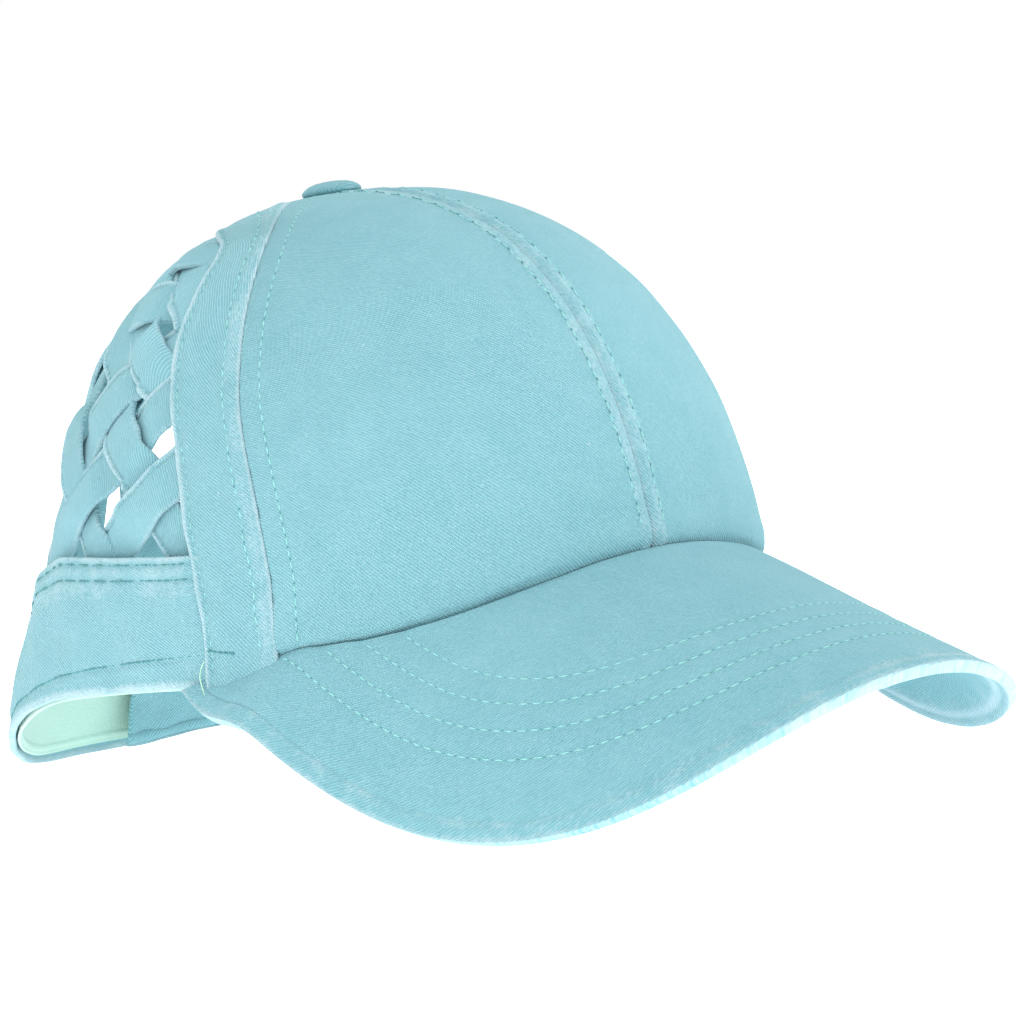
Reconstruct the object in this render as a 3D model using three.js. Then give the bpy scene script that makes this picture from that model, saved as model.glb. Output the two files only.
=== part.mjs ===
// Ponytail baseball cap in washed twill, faceted solids, millimetres, Z up, the peak towards -Y
import * as THREE from "three";

// Head shell sizes
const HALF_WIDTH = 79.5;
const FRONT_REACH = 92;
const BACK_REACH = 99;
const CROWN_HEIGHT = 117.5;
const TOP_SETBACK = 3.5;
const PLAN_FRONT_POWER = 2.24;
const PLAN_BACK_POWER = 2.5;
const PROFILE_FRONT = { out: 2.16, up: 2.34 };
const PROFILE_SIDE = { out: 2.35, up: 2.24 };
const PROFILE_BACK = { out: 1.22, up: 1.65 };
const BACK_FLARE = 5;
const BACK_KICK = 4;
const FLARE_SHARE = 0.38;

// Rim behind the brim corners: share of the turn to the centre back, share of the fall
const RIM_BACK_HEIGHT = -15;
const RIM_FALL = [
  { turn: 0, fall: 0 },
  { turn: 0.25, fall: 0.02 },
  { turn: 0.36, fall: 0.18 },
  { turn: 0.46, fall: 0.44 },
  { turn: 0.56, fall: 0.7 },
  { turn: 0.7, fall: 0.93 },
  { turn: 1, fall: 1 },
];

// Brim sizes
const BRIM_ROOT_HEIGHT = 22;
const BRIM_PITCH = THREE.MathUtils.degToRad(22);
const BRIM_BEND_ROOT = 97.5;
const BRIM_BEND_EDGE = 70.5;
const BRIM_LENGTH = 79.5;
const BRIM_HALF_ARC = 99;
const BRIM_WIDEST = -10;
const BRIM_SIDE_POWER = 0.91;
const BRIM_FRONT_POWER = 0.905;
const BRIM_BOARD = 3;
const BRIM_CORNER_ANGLE = THREE.MathUtils.degToRad(78.5);
const BRIM_CORNER_WIDTH = 3.5;
const BRIM_CORNER_TUCK = 6;
const BRIM_CORNER_DROP = 5;
const BRIM_DROP_START = 42;
const BRIM_DROP_RUN = 22;
const BRIM_LEVEL_SHARE = 0.2;
const CROWN_SKIRT = 2;

// Cloth thicknesses, how far each sinks under the outer face, and the gap at a seam
const SEAM_GAP = 0.3;
const EDGE_STEPS = 12;
const PANEL_WALL = 1.6;
const ARCH_WALL = 1.6;
const ARCH_SINK = 0.2;
const BAND_WALL = 1.8;
const BAND_SINK = 0.3;
const STRAP_WALL = 1.4;
const STRAP_GAP = 0.5;
const STRAP_CLEARANCE = 0.6;
const PAD_GAP = 0.6;
const PAD_WALL = 0.9;

// Arch band: both edges, as shares of the chart's radius, side against ahead
const ARCH_FRONT_FOOT = 0.905;
const ARCH_FRONT = [
  { side: 0, ahead: -0.035 },
  { side: 0.1, ahead: 0.005 },
  { side: 0.35, ahead: 0.125 },
  { side: 0.55, ahead: 0.192 },
  { side: 0.68, ahead: 0.245 },
  { side: 0.8, ahead: 0.325 },
  { side: 0.9, ahead: 0.395 },
  { side: 1, ahead: 0.425 },
];
const ARCH_REAR_FOOT = 0.98;
const ARCH_REAR = [
  { side: 0, ahead: -0.21 },
  { side: 0.08, ahead: -0.175 },
  { side: 0.18, ahead: -0.08 },
  { side: 0.29, ahead: 0.006 },
  { side: 0.42, ahead: 0.032 },
  { side: 0.56, ahead: 0.045 },
  { side: 0.7, ahead: 0.095 },
  { side: 0.85, ahead: 0.165 },
  { side: 0.94, ahead: 0.205 },
  { side: 1, ahead: 0.19 },
];

// Back band: height over the rim at the arch and at the back, closure overlap in degrees past the centre
const BAND_HEIGHT_SIDE = 27;
const BAND_HEIGHT_BACK = 36;
const BAND_RISE_TURN = 0.45;
const RIGHT_HALF_OVER = THREE.MathUtils.degToRad(33);
const LEFT_HALF_OVER = THREE.MathUtils.degToRad(6);
const TAB_STEP = THREE.MathUtils.degToRad(12);
const TAB_CLEARANCE = THREE.MathUtils.degToRad(2);
const TAB_DROP = 8;
const PAD_HEIGHT = 20;
const PAD_PEEK = 0.6;
const PAD_MARGIN = THREE.MathUtils.degToRad(4);

// Lattice straps: where each leaves the arch edge, and where it arrives, on the wearer's right family
const STRAP_WIDTH = 11;
const STRAP_TUCK = 4;
const STRAP_SECTION = 5;
const SEAM_MARGIN = 2;
const LATTICE_SINK = 3;
const LATTICE_EDGE = 12;
const LATTICE_LIFT = 1.2;
const STRAPS = [
  { leaves: -0.765, band: -93, sag: 0 },
  { leaves: -0.63, band: -108.5, sag: 0 },
  { leaves: -0.53, band: -127, sag: 0 },
  { leaves: -0.42, band: -160, sag: 0 },
  { leaves: -0.28, band: 160, sag: 0.1 },
  { leaves: -0.07, band: 100, sag: 0.7 },
  { leaves: 0.125, arch: 0.837, sag: 0.32 },
  { leaves: 0.235, arch: 0.66, sag: 0.275 },
];

// Crown button
const BUTTON_RADIUS = 7;
const BUTTON_HEIGHT = 4.2;
const BUTTON_SEAT = 0.3;

const clamp = (value, low, high) => Math.min(high, Math.max(low, value));
const mix = (from, to, share) => from + (to - from) * share;
const ease = (share) => {
  const t = clamp(share, 0, 1);
  return t * t * (3 - 2 * t);
};
const signedPower = (value, power) => Math.sign(value) * Math.abs(value) ** power;

// Smooth reading of a short table, with flat ends
function readTable(rows, key, column, at) {
  const last = rows.length - 1;
  if (at <= rows[0][key]) return rows[0][column];
  if (at >= rows[last][key]) return rows[last][column];
  let i = 0;
  while (at > rows[i + 1][key]) i += 1;
  const slope = (k) => {
    const a = rows[Math.max(k - 1, 0)];
    const b = rows[Math.min(k + 1, last)];
    return k === 0 && rows[0][key] === 0 ? 0 : (b[column] - a[column]) / (b[key] - a[key]);
  };
  const low = rows[i];
  const high = rows[i + 1];
  const span = high[key] - low[key];
  const t = (at - low[key]) / span;
  const h00 = 2 * t ** 3 - 3 * t ** 2 + 1;
  const h10 = t ** 3 - 2 * t ** 2 + t;
  const h01 = 3 * t ** 2 - 2 * t ** 3;
  const h11 = t ** 3 - t ** 2;
  return h00 * low[column] + h10 * span * slope(i) + h01 * high[column] + h11 * span * slope(i + 1);
}

// Plan outline of the rim, angle 0 ahead and positive to the wearer's left
function planPoint(angle) {
  const c = Math.cos(angle);
  const power = 2 / (c > 0 ? PLAN_FRONT_POWER : PLAN_BACK_POWER);
  const reach = c > 0 ? FRONT_REACH : BACK_REACH;
  return { x: HALF_WIDTH * signedPower(Math.sin(angle), power), ahead: reach * signedPower(c, power) };
}

// The brim is a bent sheet: arc across it, run down it from its root line
function brimBend(run) {
  return mix(BRIM_BEND_ROOT, BRIM_BEND_EDGE, clamp(run / BRIM_LENGTH, -0.5, 1));
}

function brimPoint(arc, run) {
  const bend = brimBend(run);
  const sag = -bend * (1 - Math.cos(arc / bend));
  const drop = BRIM_CORNER_DROP * ease((-run - BRIM_DROP_START) / BRIM_DROP_RUN);
  return new THREE.Vector3(
    bend * Math.sin(arc / bend),
    FRONT_REACH + run * Math.cos(BRIM_PITCH) + sag * Math.sin(BRIM_PITCH),
    BRIM_ROOT_HEIGHT - run * Math.sin(BRIM_PITCH) + sag * Math.cos(BRIM_PITCH) - drop,
  );
}

function brimShares(x, ahead) {
  const safeBend = (run) => Math.max(brimBend(run), Math.abs(x) * 1.01);
  let run = 0;
  for (let i = 0; i < 8; i += 1) {
    const bend = safeBend(run);
    const sag = Math.sqrt(bend * bend - x * x) - bend;
    run = (ahead - FRONT_REACH - sag * Math.sin(BRIM_PITCH)) / Math.cos(BRIM_PITCH);
  }
  const bend = safeBend(run);
  return { arc: bend * Math.asin(x / bend), run };
}

function turnBehind(angle) {
  return clamp((Math.abs(angle) - BRIM_CORNER_ANGLE) / (Math.PI - BRIM_CORNER_ANGLE), 0, 1);
}

const wrapAngle = (angle) => Math.atan2(Math.sin(angle), Math.cos(angle));

function rimHeight(rawAngle) {
  const angle = wrapAngle(rawAngle);
  const front = planPoint(clamp(angle, -BRIM_CORNER_ANGLE, BRIM_CORNER_ANGLE));
  const shares = brimShares(front.x, front.ahead);
  const height = brimPoint(shares.arc, shares.run).z;
  return mix(height, RIM_BACK_HEIGHT, readTable(RIM_FALL, "turn", "fall", turnBehind(angle)));
}

// Profile powers blend from front to side to back
function profile(angle, key) {
  const c = Math.cos(angle);
  const front = Math.max(c, 0) ** 1.5;
  const back = Math.max(-c, 0) ** 1.5;
  const side = PROFILE_SIDE[key];
  return side + (PROFILE_FRONT[key] - side) * front + (PROFILE_BACK[key] - side) * back;
}

// Outer face of the crown from a flat chart: the crown's top at 0, the rim at radius 1
function chartPoint(side, ahead) {
  const radius = Math.hypot(side, ahead);
  const angle = Math.atan2(side, ahead);
  const lift = (1 - Math.min(radius, 1)) * Math.PI / 2;
  const plan = planPoint(angle);
  const rim = rimHeight(angle);
  const out = Math.cos(lift) ** (2 / profile(angle, "out"));
  const up = Math.sin(lift) ** (2 / profile(angle, "up"));
  const low = clamp(1 - up / FLARE_SHARE, 0, 1) ** 1.3 * ease((0.15 - Math.cos(angle)) / 0.6);
  const fromTop = plan.ahead + TOP_SETBACK;
  const flare = 1 + BACK_FLARE * low / Math.hypot(plan.x, fromTop);
  const skirt = Math.max(radius - 1, 0) * CROWN_HEIGHT;
  return new THREE.Vector3(
    plan.x * out * flare,
    fromTop * out * flare - TOP_SETBACK - BACK_KICK * low * Math.max(-Math.cos(angle), 0),
    mix(rim, CROWN_HEIGHT, up) - skirt,
  );
}

// Directions of the face at a chart point: along each chart axis, and outward
function chartFrame(side, ahead) {
  const step = 0.004;
  const point = chartPoint(side, ahead);
  const alongSide = chartPoint(side + step, ahead).sub(chartPoint(side - step, ahead)).divideScalar(2 * step);
  const alongAhead = chartPoint(side, ahead + step).sub(chartPoint(side, ahead - step)).divideScalar(2 * step);
  const outward = alongAhead.clone().cross(alongSide).normalize();
  const fromInside = point.clone().sub(new THREE.Vector3(0, -TOP_SETBACK, RIM_BACK_HEIGHT));
  if (outward.dot(fromInside) < 0) outward.negate();
  return { point, alongSide, alongAhead, outward };
}

function chartLift(side, ahead, lift) {
  const frame = chartFrame(side, ahead);
  return frame.point.addScaledVector(frame.outward, lift);
}

const chartAt = (angle, radius) => ({ side: radius * Math.sin(angle), ahead: radius * Math.cos(angle) });
const chartGap = SEAM_GAP / CROWN_HEIGHT / 2;

// Closed thin wall from a grid of outer and inner points
function wallGeometry(columns, rows, pointAt) {
  const positions = [];
  const across = columns + 1;
  const count = across * (rows + 1);
  for (const face of ["outer", "inner"]) {
    for (let j = 0; j <= rows; j += 1) {
      for (let i = 0; i <= columns; i += 1) {
        const p = pointAt(i / columns, j / rows)[face];
        positions.push(p.x, -p.y, p.z);
      }
    }
  }
  const index = [];
  const quad = (a, b, c, d) => index.push(a, b, c, a, c, d);
  for (let j = 0; j < rows; j += 1) {
    for (let i = 0; i < columns; i += 1) {
      const a = j * across + i;
      quad(a, a + 1, a + 1 + across, a + across);
      quad(count + a, count + a + across, count + a + 1 + across, count + a + 1);
    }
  }
  for (let i = 0; i < columns; i += 1) {
    const top = rows * across + i;
    quad(i + 1, i, count + i, count + i + 1);
    quad(top, top + 1, count + top + 1, count + top);
  }
  for (let j = 0; j < rows; j += 1) {
    const left = j * across;
    const right = left + columns;
    quad(left, left + across, count + left + across, count + left);
    quad(right + across, right, count + right, count + right + across);
  }
  return orient(positions, index);
}

// Turns every face outward
function orient(positions, index) {
  const at = (k) => new THREE.Vector3().fromArray(positions, index[k] * 3);
  let volume = 0;
  for (let k = 0; k < index.length; k += 3) volume += at(k).dot(at(k + 1).cross(at(k + 2)));
  if (volume < 0) index.reverse();
  const geometry = new THREE.BufferGeometry();
  geometry.setAttribute("position", new THREE.Float32BufferAttribute(positions, 3));
  geometry.setIndex(index);
  return geometry;
}

// A patch of the chart between four edges
function patch(bottom, top, left, right) {
  return (u, v) => {
    const blend = (key) => {
      const ruled = mix(bottom(u)[key], top(u)[key], v) + mix(left(v)[key], right(v)[key], u);
      const low = mix(bottom(0)[key], bottom(1)[key], u);
      const high = mix(top(0)[key], top(1)[key], u);
      return ruled - mix(low, high, v);
    };
    return { side: blend("side"), ahead: blend("ahead") };
  };
}

function archFront(share) {
  return {
    side: ARCH_FRONT_FOOT * share,
    ahead: readTable(ARCH_FRONT, "side", "ahead", Math.abs(share)),
  };
}

function archRear(share) {
  return {
    side: ARCH_REAR_FOOT * share,
    ahead: readTable(ARCH_REAR, "side", "ahead", Math.abs(share)),
  };
}

const nudge = (spot, ahead) => ({ side: spot.side, ahead: spot.ahead + ahead });

// Lower end of a crown piece, a skirt below the rim line
function skirted(spot, share) {
  const grow = 1 + CROWN_SKIRT / CROWN_HEIGHT * share;
  const radius = Math.hypot(spot.side, spot.ahead);
  const scale = (1 / radius) * grow;
  return { side: spot.side * scale, ahead: spot.ahead * scale };
}

// Front panel, from the centre seam to the arch band
function frontPanel(hand) {
  const split = 0.5;
  const footAngle = Math.atan2(archFront(1).side, nudge(archFront(1), chartGap).ahead);
  const foot = (u) => skirted(chartAt(footAngle * u, 1), 1);
  const bottom = (u) => ({ side: Math.max(foot(u).side, chartGap), ahead: foot(u).ahead });
  const top = (u) => {
    const spot = nudge(archFront(split * u), chartGap);
    return { side: Math.max(spot.side, chartGap), ahead: spot.ahead };
  };
  const left = (v) => ({ side: chartGap, ahead: mix(bottom(0).ahead, top(0).ahead, v) });
  const right = (v) => {
    const spot = nudge(archFront(mix(1, split, v)), chartGap);
    const low = bottom(1);
    const blend = 1 - ease(v * 8);
    const start = nudge(archFront(1), chartGap);
    return {
      side: spot.side + (low.side - start.side) * blend,
      ahead: spot.ahead + (low.ahead - start.ahead) * blend,
    };
  };
  const spotAt = patch(bottom, top, left, right);
  return wallGeometry(EDGE_STEPS, EDGE_STEPS, (u, v) => {
    const spot = spotAt(u, v);
    return {
      outer: chartLift(hand * spot.side, spot.ahead, 0),
      inner: chartLift(hand * spot.side, spot.ahead, -PANEL_WALL),
    };
  });
}

// Arch band, one folded strip from the right rim over the top to the left rim
function archBand() {
  return wallGeometry(4 * EDGE_STEPS, 3, (u, v) => {
    const along = mix(-1, 1, u);
    const front = nudge(archFront(along), -chartGap);
    const rear = archRear(along);
    const low = ease((Math.abs(along) - 0.93) / 0.07);
    const frontSpot = low > 0 ? blendSpot(front, skirted(front, 1), low) : front;
    const rearSpot = low > 0 ? blendSpot(rear, skirted(rear, 1), low) : rear;
    const spot = blendSpot(rearSpot, frontSpot, v);
    return {
      outer: chartLift(spot.side, spot.ahead, -ARCH_SINK),
      inner: chartLift(spot.side, spot.ahead, -ARCH_SINK - ARCH_WALL),
    };
  });
}

function blendSpot(from, to, share) {
  return { side: mix(from.side, to.side, share), ahead: mix(from.ahead, to.ahead, share) };
}

// Chart radius at a height over the rim
function radiusAt(angle, height) {
  const share = clamp(height, 0, CROWN_HEIGHT) / (CROWN_HEIGHT - rimHeight(angle));
  const drop = Math.min(height, 0) / CROWN_HEIGHT;
  return 1 - Math.asin(share ** (profile(angle, "up") / 2)) / (Math.PI / 2) - drop;
}

function bandHeight(angle) {
  return mix(BAND_HEIGHT_SIDE, BAND_HEIGHT_BACK, ease(turnBehind(wrapAngle(angle)) / BAND_RISE_TURN));
}

// Turn of the arch band's rear edge at a height, on the wearer's left
function rearTurn(height) {
  let low = 0.8;
  let high = 1;
  for (let i = 0; i < 24; i += 1) {
    const middle = (low + high) / 2;
    const spot = archRear(middle);
    const angle = Math.atan2(spot.side, spot.ahead);
    if (Math.hypot(spot.side, spot.ahead) < radiusAt(angle, height)) low = middle;
    else high = middle;
  }
  const spot = nudge(archRear(low), -2.5 * chartGap);
  return Math.atan2(spot.side, spot.ahead);
}

// A strip of the band region between two turns and two heights
function bandStrip(hand, columns, rows, region) {
  return wallGeometry(columns, rows, (u, v) => {
    const share = region.bottom(0) + (region.top(0) - region.bottom(0)) * v;
    const from = region.start(share);
    const angle = mix(from, region.end, u);
    const height = mix(region.bottom(angle), region.top(angle), v);
    const spot = chartAt(hand * angle, radiusAt(angle, height));
    const lift = region.lift(angle);
    return {
      outer: chartLift(spot.side, spot.ahead, lift),
      inner: chartLift(spot.side, spot.ahead, lift - region.wall),
    };
  });
}

const RIGHT_END = Math.PI + RIGHT_HALF_OVER;
const LEFT_END = Math.PI + LEFT_HALF_OVER;
const TAB_FULL = Math.PI - RIGHT_HALF_OVER - TAB_CLEARANCE;
const CLOSURE_STACK = BAND_WALL + 2 * PAD_WALL + 3 * PAD_GAP;
const tabShare = (angle) => ease((angle - TAB_FULL + TAB_STEP) / TAB_STEP);

function backBand(hand) {
  const isTab = hand > 0;
  return bandStrip(hand, 26, 6, {
    start: rearTurn,
    end: isTab ? LEFT_END : RIGHT_END,
    bottom: () => 0,
    top: (angle) => bandHeight(angle) - (isTab ? TAB_DROP * tabShare(angle) : 0),
    lift: (angle) => -BAND_SINK - (isTab ? CLOSURE_STACK * tabShare(angle) : 0),
    wall: BAND_WALL,
  });
}

const loopPad = () => bandStrip(-1, 24, 1, {
  start: (height) => rearTurn(height) + PAD_MARGIN,
  end: RIGHT_END - PAD_MARGIN / 2,
  bottom: () => -PAD_PEEK,
  top: () => PAD_HEIGHT,
  lift: () => -BAND_SINK - BAND_WALL - PAD_GAP,
  wall: PAD_WALL,
});

const hookPad = () => bandStrip(1, 8, 1, {
  start: () => TAB_FULL + PAD_MARGIN,
  end: LEFT_END - PAD_MARGIN / 2,
  bottom: () => PAD_PEEK,
  top: () => PAD_HEIGHT,
  lift: () => -BAND_SINK - CLOSURE_STACK + PAD_GAP + PAD_WALL,
  wall: PAD_WALL,
});

// Lattice straps run on the shortest line between their ends over the chart's round shape
function chartDirection(spot) {
  const radius = Math.hypot(spot.side, spot.ahead);
  const angle = Math.atan2(spot.side, spot.ahead);
  const lift = (1 - radius) * Math.PI / 2;
  return new THREE.Vector3(
    Math.cos(lift) * Math.sin(angle),
    Math.cos(lift) * Math.cos(angle),
    Math.sin(lift),
  );
}

function directionSpot(direction) {
  const lift = Math.asin(clamp(direction.z / direction.length(), -1, 1));
  return chartAt(Math.atan2(direction.x, direction.y), 1 - lift / (Math.PI / 2));
}

// Centre line of one strap, run on past both ends by the length tucked under the bands
function strapLine(row, hand) {
  const from = chartDirection(archRear(row.leaves));
  const bandAngle = THREE.MathUtils.degToRad(row.band ?? 0);
  const arrival = row.arch === undefined
    ? chartAt(bandAngle, radiusAt(bandAngle, bandHeight(bandAngle)))
    : archRear(row.arch);
  const to = chartDirection(arrival);
  const whole = from.angleTo(to);
  const across = to.clone().addScaledVector(from, -from.dot(to)).normalize();
  const at = (angle) => {
    const direction = from.clone().multiplyScalar(Math.cos(angle)).addScaledVector(across, Math.sin(angle));
    direction.z -= row.sag * Math.sin(clamp(angle / whole, 0, 1) * Math.PI);
    const spot = directionSpot(direction);
    return { side: hand * spot.side, ahead: spot.ahead };
  };
  const margin = STRAP_TUCK / CROWN_HEIGHT;
  const steps = Math.ceil((whole + 2 * margin) * CROWN_HEIGHT / 2);
  const points = [];
  let run = 0;
  for (let i = 0; i <= steps; i += 1) {
    const angle = mix(-margin, whole + margin, i / steps);
    const spot = at(angle);
    const frame = chartFrame(spot.side, spot.ahead);
    if (i > 0) run += frame.point.distanceTo(points[i - 1].frame.point);
    points.push({ spot, frame, run, angle });
  }
  const runAt = (angle) => {
    const k = clamp((angle + margin) / (whole + 2 * margin) * steps, 0, steps - 1);
    const i = Math.floor(k);
    return mix(points[i].run, points[i + 1].run, k - i);
  };
  return { points, start: runAt(-margin), stop: runAt(whole + margin) };
}

function lineAt(line, run) {
  const points = line.points;
  let i = 0;
  while (i < points.length - 2 && points[i + 1].run < run) i += 1;
  const share = (run - points[i].run) / (points[i + 1].run - points[i].run);
  const spot = blendSpot(points[i].spot, points[i + 1].spot, share);
  const tangent = points[i + 1].frame.point.clone().sub(points[i].frame.point).normalize();
  return { spot, tangent };
}

// How far a spot lies inside the lattice, in millimetres
function latticeDepth(spot) {
  const archShare = clamp(Math.abs(spot.side) / ARCH_REAR_FOOT, 0, 1);
  const toArch = (archRear(archShare).ahead - spot.ahead) * CROWN_HEIGHT;
  const angle = Math.atan2(spot.side, spot.ahead);
  const radius = Math.hypot(spot.side, spot.ahead);
  const toBand = (radiusAt(angle, bandHeight(angle)) - radius) * CROWN_HEIGHT;
  return Math.min(toArch, toBand);
}

const STRAP_STEP = (STRAP_WALL + STRAP_GAP) / 2;
const STRAP_REST = -BAND_SINK - BAND_WALL - STRAP_CLEARANCE - STRAP_WALL / 2 - STRAP_STEP;

// One lattice strap: a flat strip, the right family's layer over the left family's
function strapGeometry(line, layer) {
  const half = STRAP_WIDTH / 2;
  const count = Math.max(4, Math.round((line.stop - line.start) / STRAP_SECTION));
  return wallGeometry(2, count, (u, v) => {
    const offset = mix(-half, half, u);
    const here = lineAt(line, mix(line.start, line.stop, v));
    const frame = chartFrame(here.spot.side, here.spot.ahead);
    const sideways = frame.outward.clone().cross(here.tangent).normalize().multiplyScalar(offset);
    const spot = shiftSpot(here.spot, frame, sideways);
    const depth = ease((latticeDepth(spot) - SEAM_MARGIN) / LATTICE_EDGE);
    const lift = STRAP_REST + (LATTICE_SINK + LATTICE_LIFT) * depth + layer * STRAP_STEP;
    return {
      outer: chartLift(spot.side, spot.ahead, lift + STRAP_WALL / 2),
      inner: chartLift(spot.side, spot.ahead, lift - STRAP_WALL / 2),
    };
  });
}

// Moves a chart spot by a short vector along the face
function shiftSpot(spot, frame, by) {
  const a = frame.alongSide;
  const b = frame.alongAhead;
  const aa = a.dot(a);
  const ab = a.dot(b);
  const bb = b.dot(b);
  const pa = a.dot(by);
  const pb = b.dot(by);
  const det = aa * bb - ab * ab;
  return {
    side: spot.side + (pa * bb - pb * ab) / det,
    ahead: spot.ahead + (pb * aa - pa * ab) / det,
  };
}

// Brim: one bent board covered in cloth, thick along its own face and upright at its root
function brimOutline(share) {
  const corner = planPoint(BRIM_CORNER_ANGLE);
  const end = brimShares(corner.x, corner.ahead);
  const endArc = end.arc + BRIM_CORNER_WIDTH;
  const endRun = end.run - BRIM_CORNER_TUCK;
  const away = Math.abs(share);
  const frontShare = 0.6;
  if (away < frontShare) {
    const turn = away / frontShare * Math.PI / 2;
    return {
      arc: Math.sign(share) * BRIM_HALF_ARC * Math.sin(turn) ** BRIM_SIDE_POWER,
      run: mix(BRIM_WIDEST, BRIM_LENGTH, Math.cos(turn) ** BRIM_FRONT_POWER),
    };
  }
  const t = (away - frontShare) / (1 - frontShare);
  return {
    arc: Math.sign(share) * mix(BRIM_HALF_ARC, endArc, t * t),
    run: mix(BRIM_WIDEST, endRun, t),
  };
}

function brimRoot(share) {
  const plan = planPoint(share * BRIM_CORNER_ANGLE);
  const reach = Math.hypot(plan.x, plan.ahead);
  const grow = 1 + SEAM_GAP * 1.5 / reach;
  return brimShares(plan.x * grow, plan.ahead * grow);
}

function brim() {
  return wallGeometry(36, 8, (u, v) => {
    const share = mix(-1, 1, u);
    const root = brimRoot(share);
    const edge = brimOutline(share);
    const arc = mix(root.arc, edge.arc, v);
    const run = mix(root.run, edge.run, v);
    const step = 0.5;
    const point = brimPoint(arc, run);
    const across = brimPoint(arc + step, run).sub(brimPoint(arc - step, run));
    const down = brimPoint(arc, run + step).sub(brimPoint(arc, run - step));
    const face = across.cross(down).normalize();
    const upright = new THREE.Vector3(0, 0, 1);
    const thick = upright.lerp(face, ease(v / BRIM_LEVEL_SHARE)).normalize();
    return {
      outer: point.clone().addScaledVector(thick, BRIM_BOARD / 2),
      inner: point.clone().addScaledVector(thick, -BRIM_BOARD / 2),
    };
  });
}

// Cloth-covered button on the crown's top
function button() {
  const section = [
    [0, 0],
    [BUTTON_RADIUS * 0.86, 0],
    [BUTTON_RADIUS, BUTTON_HEIGHT * 0.3],
    [BUTTON_RADIUS * 0.93, BUTTON_HEIGHT * 0.62],
    [BUTTON_RADIUS * 0.66, BUTTON_HEIGHT * 0.88],
    [BUTTON_RADIUS * 0.3, BUTTON_HEIGHT * 0.98],
    [0, BUTTON_HEIGHT],
  ].map(([radius, height]) => new THREE.Vector2(radius, height));
  const geometry = new THREE.LatheGeometry(section, 20);
  geometry.rotateX(Math.PI / 2);
  geometry.translate(0, TOP_SETBACK, CROWN_HEIGHT + BUTTON_SEAT);
  return geometry;
}

const MATERIALS = {
  twill: new THREE.Color(0.56, 0.83, 0.87),
  straps: new THREE.Color(0.52, 0.8, 0.84),
  loops: new THREE.Color(0.75, 0.93, 0.86),
};

function piece(name, geometry, colour) {
  const material = new THREE.MeshStandardMaterial({ color: colour, roughness: 0.95, metalness: 0 });
  const mesh = new THREE.Mesh(geometry, material);
  mesh.name = name;
  return mesh;
}

// Rest pose: the cap tips nose up until brim edge and back rim lie on one plane
function restAngle(meshes) {
  const lowest = (angle, ahead) => {
    let low = Infinity;
    for (const mesh of meshes) {
      const spots = mesh.geometry.attributes.position;
      for (let i = 0; i < spots.count; i += 1) {
        if (spots.getY(i) < 0 !== ahead) continue;
        low = Math.min(low, spots.getZ(i) * Math.cos(angle) - spots.getY(i) * Math.sin(angle));
      }
    }
    return low;
  };
  let low = -0.3;
  let high = 0.3;
  for (let i = 0; i < 30; i += 1) {
    const middle = (low + high) / 2;
    if (lowest(middle, true) < lowest(middle, false)) low = middle;
    else high = middle;
  }
  return (low + high) / 2;
}

const straps = STRAPS.flatMap((row, i) => [
  piece(`strap_from_right_${i + 1}`, strapGeometry(strapLine(row, 1), 1), MATERIALS.straps),
  piece(`strap_from_left_${i + 1}`, strapGeometry(strapLine(row, -1), -1), MATERIALS.straps),
]);

const meshes = [
  piece("front_panel_right", frontPanel(-1), MATERIALS.twill),
  piece("front_panel_left", frontPanel(1), MATERIALS.twill),
  piece("arch_band", archBand(), MATERIALS.twill),
  piece("back_band_right", backBand(-1), MATERIALS.twill),
  piece("back_band_left", backBand(1), MATERIALS.twill),
  piece("loop_pad", loopPad(), MATERIALS.loops),
  piece("hook_pad", hookPad(), MATERIALS.loops),
  piece("brim", brim(), MATERIALS.twill),
  piece("button", button(), MATERIALS.twill),
  ...straps,
];

const angle = restAngle(meshes);
meshes.forEach((mesh) => mesh.geometry.rotateX(-angle));
const group = new THREE.Group();
meshes.forEach((mesh) => group.add(mesh));
const box = new THREE.Box3().setFromObject(group);
const centre = box.getCenter(new THREE.Vector3());
meshes.forEach((mesh) => mesh.geometry.translate(-centre.x, -centre.y, -box.min.z));

export default group;
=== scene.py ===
"""Ponytail cap in washed twill with a woven strap lattice behind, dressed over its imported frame."""

import math

import bmesh
import bpy
import numpy as np
from mathutils import Matrix, Vector


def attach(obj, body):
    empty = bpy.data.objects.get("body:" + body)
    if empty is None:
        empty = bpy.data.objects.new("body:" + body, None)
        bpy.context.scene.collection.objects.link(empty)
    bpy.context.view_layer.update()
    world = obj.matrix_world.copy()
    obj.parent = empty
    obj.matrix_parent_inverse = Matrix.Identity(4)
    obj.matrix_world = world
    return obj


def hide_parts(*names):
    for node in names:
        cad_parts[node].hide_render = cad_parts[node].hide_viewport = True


bl_info = {
    "name": "Ponytail Cap",
    "version": (1, 0, 0),
    "blender": (4, 5, 0),
    "location": "View3D > Sidebar > Cap",
    "description": "Builds the cloth, straps, stitching, peak and stage of a woven-back cap",
    "category": "Object",
}

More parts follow.
